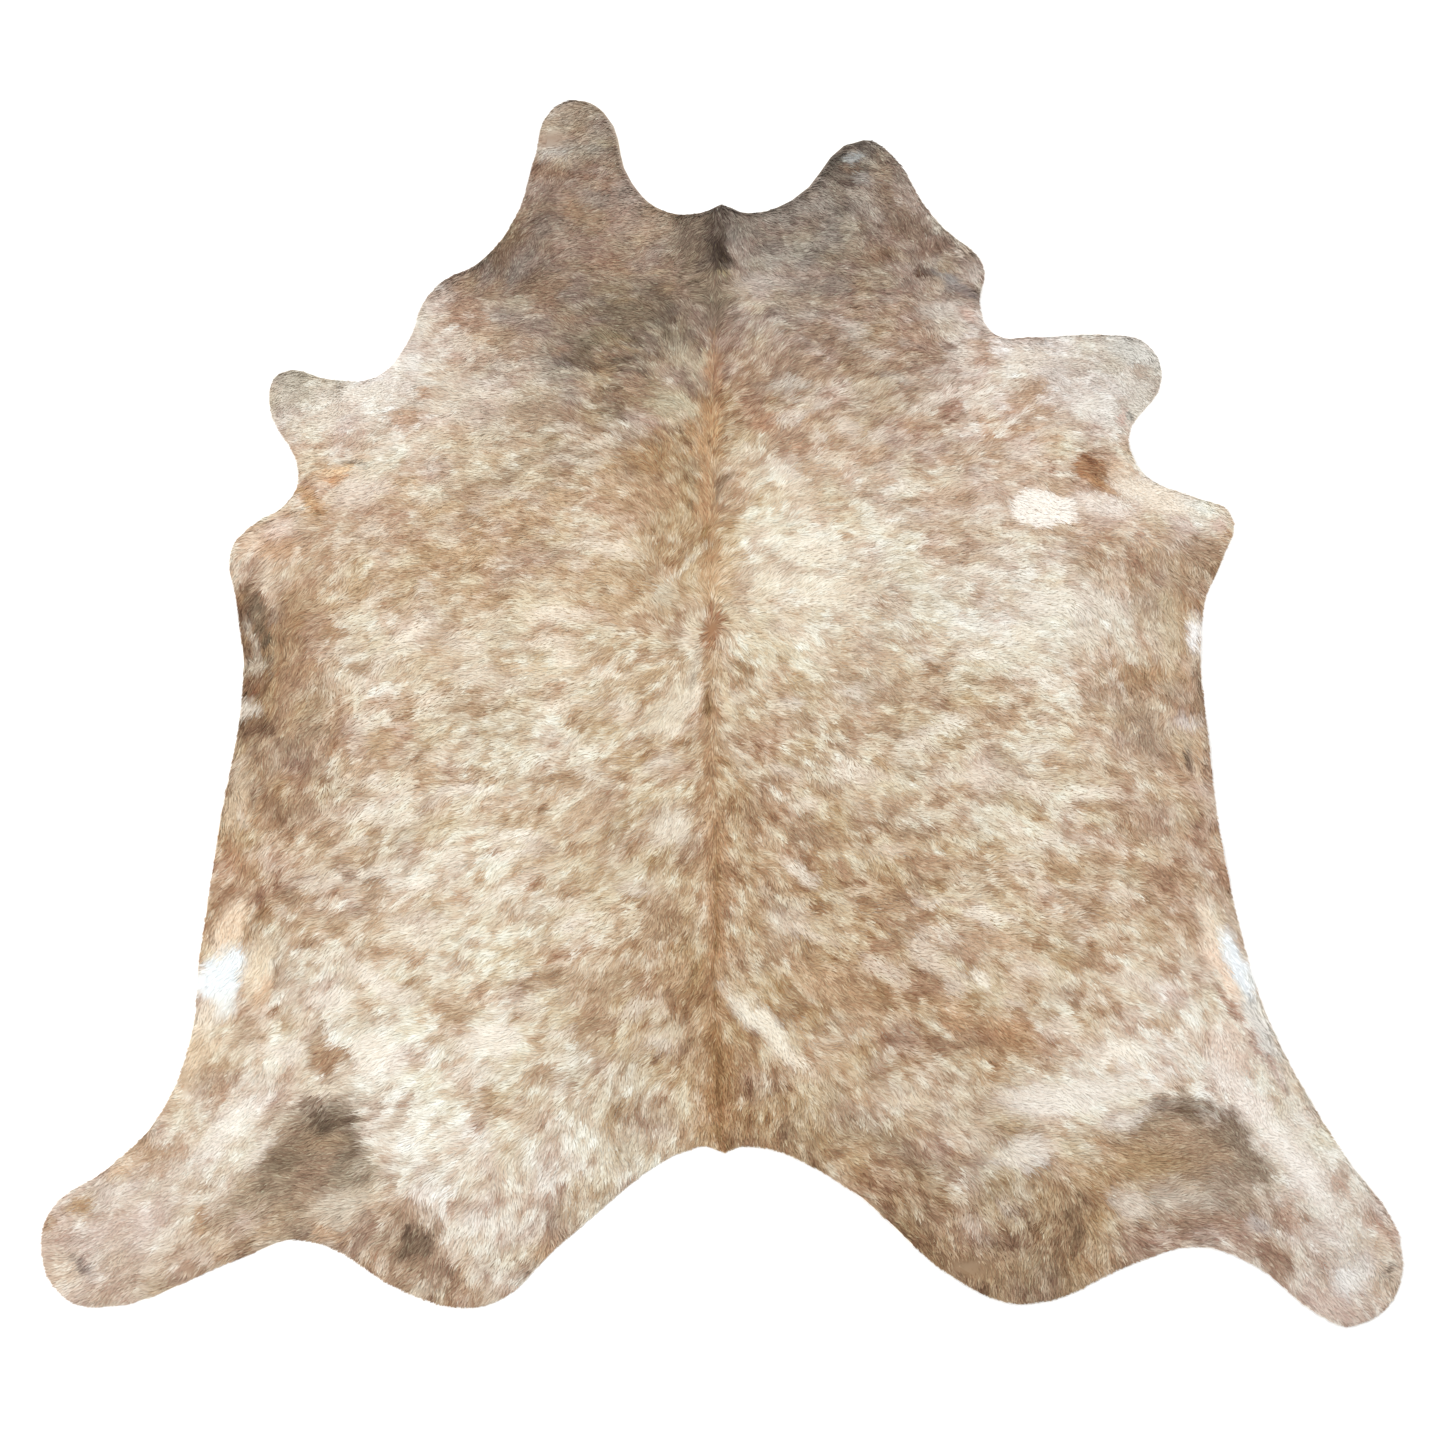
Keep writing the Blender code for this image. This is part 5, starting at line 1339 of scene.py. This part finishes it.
def paint(mesh, places, colours):
    """Keeps a linear colour at each of the mesh's points, and its plan view as its map for baking."""
    attribute = mesh.color_attributes.new("coat", "FLOAT_COLOR", "POINT")
    opaque = np.ones((len(places), 4), np.float32)
    opaque[:, :3] = colours
    attribute.data.foreach_set("color", opaque.ravel())
    low = places[:, :2].min(0)
    side = np.ptp(places[:, :2], axis=0).max()
    corner = np.empty(len(mesh.loops), np.int32)
    mesh.loops.foreach_get("vertex_index", corner)
    plan = mesh.uv_layers.new(name="OFBake")
    plan.data.foreach_set("uv", ((places[:, :2] - low) / side)[corner].astype(np.float32).ravel())


def points_of(mesh):
    """The mesh's points as an array."""
    places = np.empty(len(mesh.vertices) * 3, np.float32)
    mesh.vertices.foreach_get("co", places)
    return places.reshape(-1, 3)


hide = object_from(shaped_hide(), "hide")
hide_points = points_of(hide.data)
paint(hide.data, hide_points, read_grid(coat, hide_points[:, 0], hide_points[:, 1]) * SKIN_SHADE)

# Haired skin: seen only as the shade between the locks, so it has their colour, darker and dull.
haired_skin, tree = new_material("haired_skin")
colour = add_node(tree, "ShaderNodeAttribute", {"attribute_name": "coat"}, {}, "Color")
shader = add_node(
    tree, "ShaderNodeBsdfPrincipled", {},
    {"Base Color": colour, "Roughness": 0.8, "Specular IOR Level": 0.2},
)
finish_material(tree, shader)

# Brushed suede: the flesh side, split and buffed. Its nap is about 0.5 mm, drawn at 1.2 mm so that it
# shows, and the buffing wheel leaves paler and darker clouds about 60 mm across.
NAP_SIZE = 0.0012
BUFFED_CLOUD = 0.06
suede, tree = new_material("brushed_suede")
place = add_node(tree, "ShaderNodeTexCoord", {}, {}, "Object")
buffing = add_node(
    tree, "ShaderNodeTexNoise", {},
    {"Vector": place, "Scale": 1 / BUFFED_CLOUD, "Detail": 4.0, "Roughness": 0.6},
)
nap = add_node(
    tree, "ShaderNodeTexNoise", {},
    {"Vector": place, "Scale": 1 / NAP_SIZE, "Detail": 2.0, "Roughness": 0.7},
)
mottle = add_node(
    tree, "ShaderNodeMix", {"data_type": "FLOAT"}, {"Factor": 0.35, "A": buffing, "B": nap}, "Result"
)
colour = add_node(
    tree, "ShaderNodeMix", {"data_type": "RGBA"},
    {"Factor": mottle, "A": linear("#B9A88F"), "B": linear("#DDD1BD")}, "Result"
)
bump = add_node(
    tree, "ShaderNodeBump", {}, {"Strength": 0.4, "Distance": 0.0006, "Height": nap}
)
shader = add_node(
    tree, "ShaderNodeBsdfPrincipled", {},
    {
        "Base Color": colour, "Roughness": 0.92, "Specular IOR Level": 0.15, "Sheen Weight": 0.25,
        "Normal": bump,
    },
)
finish_material(tree, shader)

# Cut leather: the knife shows the hide's pale fibrous middle. Its layers are thinner than 1 mm, too fine to
# show, so they are drawn as soft uneven bands 3.77 mm apart. The wave texture turns by WAVE_TURN radians in
# each unit of its scale.
BAND_SPACING = 0.00377
WAVE_TURN = 20
cut_leather, tree = new_material("cut_leather")
place = add_node(tree, "ShaderNodeTexCoord", {}, {}, "Object")
layers = add_node(
    tree, "ShaderNodeTexWave", {"bands_direction": "Z"},
    {"Vector": place, "Scale": math.tau / WAVE_TURN / BAND_SPACING, "Distortion": 2.0, "Detail": 2.0},
)
colour = add_node(
    tree, "ShaderNodeMix", {"data_type": "RGBA"},
    {"Factor": layers, "A": linear("#C8B08E"), "B": linear("#E6D9C2")}, "Result"
)
shader = add_node(
    tree, "ShaderNodeBsdfPrincipled", {},
    {"Base Color": colour, "Roughness": 0.85, "Specular IOR Level": 0.2},
)
finish_material(tree, shader)

for material in (haired_skin, suede, cut_leather):
    hide.data.materials.append(material)
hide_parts("cowhide")


# The hair
# Short, straight summer hair, lying close to the skin in flat pointed locks. A lock of some twenty hairs is
# drawn as one kite-shaped blade with a ridge, rooted in the skin, leaning along the lay and lifting at its
# tip. The locks are joined into five pieces, by the part of the body.
LOCKS_PER_SQUARE_METRE = 148000
LOCK_LENGTH = (0.009, 0.019)
LOCK_HALF_WIDTH = (0.0008, 0.0015)
WIDEST_AT = 0.42
ROOT_SINK = 0.0004
EDGE_LIFT = (0.0002, 0.0013)
RIDGE_TILT = 0.00035
TIP_LIFT = (0.0005, 0.0026)

# The roots are found by looking down on the skin from this height. CORNER_SOFTNESS keeps the way up from
# jumping at the corners of the skin's faces.
LOOK_FROM_Z = 1.0
CORNER_SOFTNESS = 0.0005

# Locks turn together in tufts, and each a little on its own.
TUFTS = ((0.012, 0.8), (0.035, 1.0))
TUFT_TURN = math.radians(14)
LOCK_TURN = math.radians(8)

# A lock that would reach past the rim by more than the overhang is made shorter. None dips into the floor.
RIM_OVERHANG = 0.0010
SHORTEST_LOCK = 0.003
SHORTEST_WAY = 0.0001
FLOOR_CLEARANCE = 0.0003

# A lock has the coat's colour at its middle, with some scatter, so that colours mix lock by lock. How rich
# its red, green and blue are varies by COLOUR_SPREAD. It is darker at the root, painted shade of the locks
# lying over it, and lighter at the tip.
COLOUR_AT = 0.5
SCATTER_ALONG = 0.0035
SCATTER_ACROSS = 0.0012
COLOUR_SPREAD = (0.121, 0.139, 0.120)
COLOUR_LIMITS = (0.01, 0.97)
COAT_BRIGHTNESS = 1.04
ROOT_SHADE = 0.82
TIP_LIGHT = 1.04

# Lines across the hide where the pieces of hair meet
NECK_FROM_Y = 0.42
QUARTERS_FROM_Y = -0.32

HAIR_SEED = 5

# Where the hair is thin, and where it is longer (+) or shorter (-) than over the body, sizes in millimetres:
# place, x, y, half length, half width, degrees, share, soft edge
THIN_PLACES = (
    ("left groin", -755, -610, 55, 34, 90, 0.8, 12),
    ("right groin", 785, -600, 85, 18, 283, 0.8, 12),
)
LONG_PLACES = (
    ("mane", -10, 780, 140, 50, 90, 0.6, 30),
    ("spine", -12, 200, 500, 30, 90, 0.3, 20),
    ("left belly", -740, -80, 300, 50, 90, 0.5, 30),
    ("right belly", 750, -100, 250, 50, 90, 0.5, 30),
    ("left shank", -800, -880, 200, 100, 50, -0.4, 50),
    ("right shank", 840, -880, 220, 100, 300, -0.4, 50),
    ("left foreleg", -660, 430, 130, 90, 20, -0.35, 40),
    ("right foreleg", 660, 470, 140, 90, 350, -0.35, 40),
    ("right elbow", 740, 240, 100, 40, 338, -0.45, 20),
)


def rim_distance():
    """How far each coarse grid point lies inside the hide's lower rim, or less than 0 outside it. A point
    is inside where a line from it to the right crosses the rim an odd number of times."""
    x, y = grid_places(COARSE_CELLS)
    nearest = np.full(x.shape, math.inf)
    inside = np.zeros(x.shape, bool)
    mesh = hide.data
    sides = {}
    for polygon in mesh.polygons:
        for key in polygon.edge_keys:
            sides.setdefault(key, set()).add(polygon.material_index)
    for (a, b), kinds in sides.items():
        if kinds != {FLESH_FACE, CUT_FACE}:
            continue
        start = mesh.vertices[a].co
        end = mesh.vertices[b].co
        run_x = end.x - start.x
        run_y = end.y - start.y
        length = run_x ** 2 + run_y ** 2
        along = np.clip(((x - start.x) * run_x + (y - start.y) * run_y) / length, 0, 1)
        away = np.hypot(start.x + along * run_x - x, start.y + along * run_y - y)
        nearest = np.minimum(nearest, away)
        if run_y:
            beside = (start.y > y) != (end.y > y)
            inside ^= beside & (x < start.x + run_x * (y - start.y) / run_y)
    return np.where(inside, nearest, -nearest).astype(np.float32)


def hair_roots(chance):
    """One place in each small square of the hide's haired side, and the way up from the skin there. It is
    blended from the corners of the skin's face, the nearer the more."""
    mesh = hide.data
    mesh.calc_loop_triangles()
    haired = [t for t in mesh.loop_triangles if mesh.polygons[t.polygon_index].material_index == SKIN_FACE]
    corners = np.array([t.vertices for t in haired])
    square = 1 / math.sqrt(LOCKS_PER_SQUARE_METRE)
    low = hide_points.min(0)
    high = hide_points.max(0)
    x, y = np.meshgrid(np.arange(low[0], high[0], square), np.arange(low[1], high[1], square))
    x = (x + square * chance.random(x.shape)).ravel()
    y = (y + square * chance.random(y.shape)).ravel()
    skin = BVHTree.FromPolygons(hide_points.tolist(), corners.tolist())
    hits = [skin.ray_cast((x[i], y[i], LOOK_FROM_Z), (0.0, 0.0, -1.0)) for i in range(len(x))]
    roots = np.array([hit[0] for hit in hits if hit[0] is not None])
    chosen = corners[[hit[2] for hit in hits if hit[0] is not None]]
    normals = np.empty(len(mesh.vertices) * 3, np.float32)
    mesh.vertices.foreach_get("normal", normals)
    normals = normals.reshape(-1, 3)[chosen]
    away = np.linalg.norm(hide_points[chosen] - roots[:, None], axis=2, keepdims=True)
    near = 1 / (away + CORNER_SOFTNESS)
    up = (normals * near).sum(1)
    return roots, up / np.linalg.norm(up, axis=1, keepdims=True)


def between(chance, limits, count):
    """Even random values between two limits."""
    return chance.uniform(*limits, count)


def blades(chance, roots, up, way, length, colour):
    """The four points of each lock, root, right edge, tip and left edge, and their colours."""
    count = len(roots)
    left = np.cross(up, way)
    half_width = between(chance, LOCK_HALF_WIDTH, count)[:, None]
    edge_lift = between(chance, EDGE_LIFT, count)[:, None]
    tilt = RIDGE_TILT * chance.standard_normal(count)[:, None]
    tip_lift = between(chance, TIP_LIFT, count)[:, None]
    middle = roots + way * length[:, None] * WIDEST_AT
    points = np.stack([
        roots - up * ROOT_SINK,
        middle - left * half_width + up * (edge_lift - tilt),
        roots + way * length[:, None] + up * tip_lift,
        middle + left * half_width + up * (edge_lift + tilt),
    ], 1)
    points[..., 2] = np.maximum(points[..., 2], FLOOR_CLEARANCE)
    shades = np.array([ROOT_SHADE, 1, TIP_LIGHT, 1])[None, :, None]
    return points, colour[:, None] * shades


def joined_blades(name, points, colours):
    """One mesh object of all the locks given, two triangles each, with a ridge where they meet."""
    count = len(points)
    mesh = bpy.data.meshes.new(name)
    mesh.vertices.add(count * 4)
    mesh.vertices.foreach_set("co", points.astype(np.float32).ravel())
    corners = np.arange(count)[:, None] * 4 + np.array([0, 1, 2, 0, 2, 3])
    mesh.loops.add(count * 6)
    mesh.loops.foreach_set("vertex_index", corners.astype(np.int32).ravel())
    mesh.polygons.add(count * 2)
    mesh.polygons.foreach_set("loop_start", np.arange(0, count * 6, 3, dtype=np.int32))
    mesh.polygons.foreach_set("use_smooth", np.ones(count * 2, bool))
    mesh.update(calc_edges=True)
    paint(mesh, points.reshape(-1, 3), colours.reshape(-1, 3))
    mesh.materials.append(cow_hair)
    made = bpy.data.objects.new(name, mesh)
    bpy.context.scene.collection.objects.link(made)
    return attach(made, "root")


# Cow hair: straight, coarse and faintly waxy, so it has a soft broad shine and a little sheen at its edges.
cow_hair, tree = new_material("combed_cow_hair")
colour = add_node(tree, "ShaderNodeAttribute", {"attribute_name": "coat"}, {}, "Color")
shader = add_node(
    tree, "ShaderNodeBsdfPrincipled", {},
    {"Base Color": colour, "Roughness": 0.6, "IOR": 1.55, "Specular IOR Level": 0.25, "Sheen Weight": 0.05},
)
finish_material(tree, shader)

chance = np.random.default_rng(HAIR_SEED)
roots, up = hair_roots(chance)
kept = chance.random(len(roots)) > read_grid(place_shares(THIN_PLACES), roots[:, 0], roots[:, 1])
roots = roots[kept]
up = up[kept]
x = roots[:, 0]
y = roots[:, 1]
count = len(roots)

tufts = soft_noise(chance, TUFTS)
heading = read_grid(lay, x, y)
angle = np.arctan2(heading[:, 1], heading[:, 0])
angle += TUFT_TURN * read_grid(tufts, x, y) + LOCK_TURN * chance.standard_normal(count)
way = np.stack([np.cos(angle), np.sin(angle), np.zeros(count)], -1)
way -= up * (way * up).sum(1, keepdims=True)
way /= np.linalg.norm(way, axis=1, keepdims=True)

length = between(chance, LOCK_LENGTH, count) * (1 + read_grid(place_shares(LONG_PLACES), x, y))
rim = rim_distance()
at_root = read_grid(rim, x, y, COARSE_CELLS)
at_tip = read_grid(rim, x + way[:, 0] * length, y + way[:, 1] * length, COARSE_CELLS)
over = at_tip < -RIM_OVERHANG
shorter = np.maximum(at_root + RIM_OVERHANG, 0) / np.maximum(at_root - at_tip, SHORTEST_WAY)
length = np.where(over, np.maximum(length * shorter, SHORTEST_LOCK), length)

along = COLOUR_AT * length + SCATTER_ALONG * chance.standard_normal(count)
across = SCATTER_ACROSS * chance.standard_normal(count)
colour_x = x + along * way[:, 0] - across * way[:, 1]
colour_y = y + along * way[:, 1] + across * way[:, 0]
richness = 1 + chance.standard_normal(count)[:, None] * np.array(COLOUR_SPREAD)
colour = COAT_BRIGHTNESS * read_grid(coat, colour_x, colour_y) ** richness
points, colours = blades(chance, roots, up, way, length, np.clip(colour, *COLOUR_LIMITS))

is_left = x < SPINE_X
is_neck = y > NECK_FROM_Y
is_quarter = y < QUARTERS_FROM_Y
is_side = ~is_neck & ~is_quarter
locks_of_piece = {
    "neck_hair": is_neck,
    "left_side_hair": is_side & is_left,
    "right_side_hair": is_side & ~is_left,
    "left_quarter_hair": is_quarter & is_left,
    "right_quarter_hair": is_quarter & ~is_left,
}
hair = [joined_blades(name, points[chosen], colours[chosen]) for name, chosen in locks_of_piece.items()]
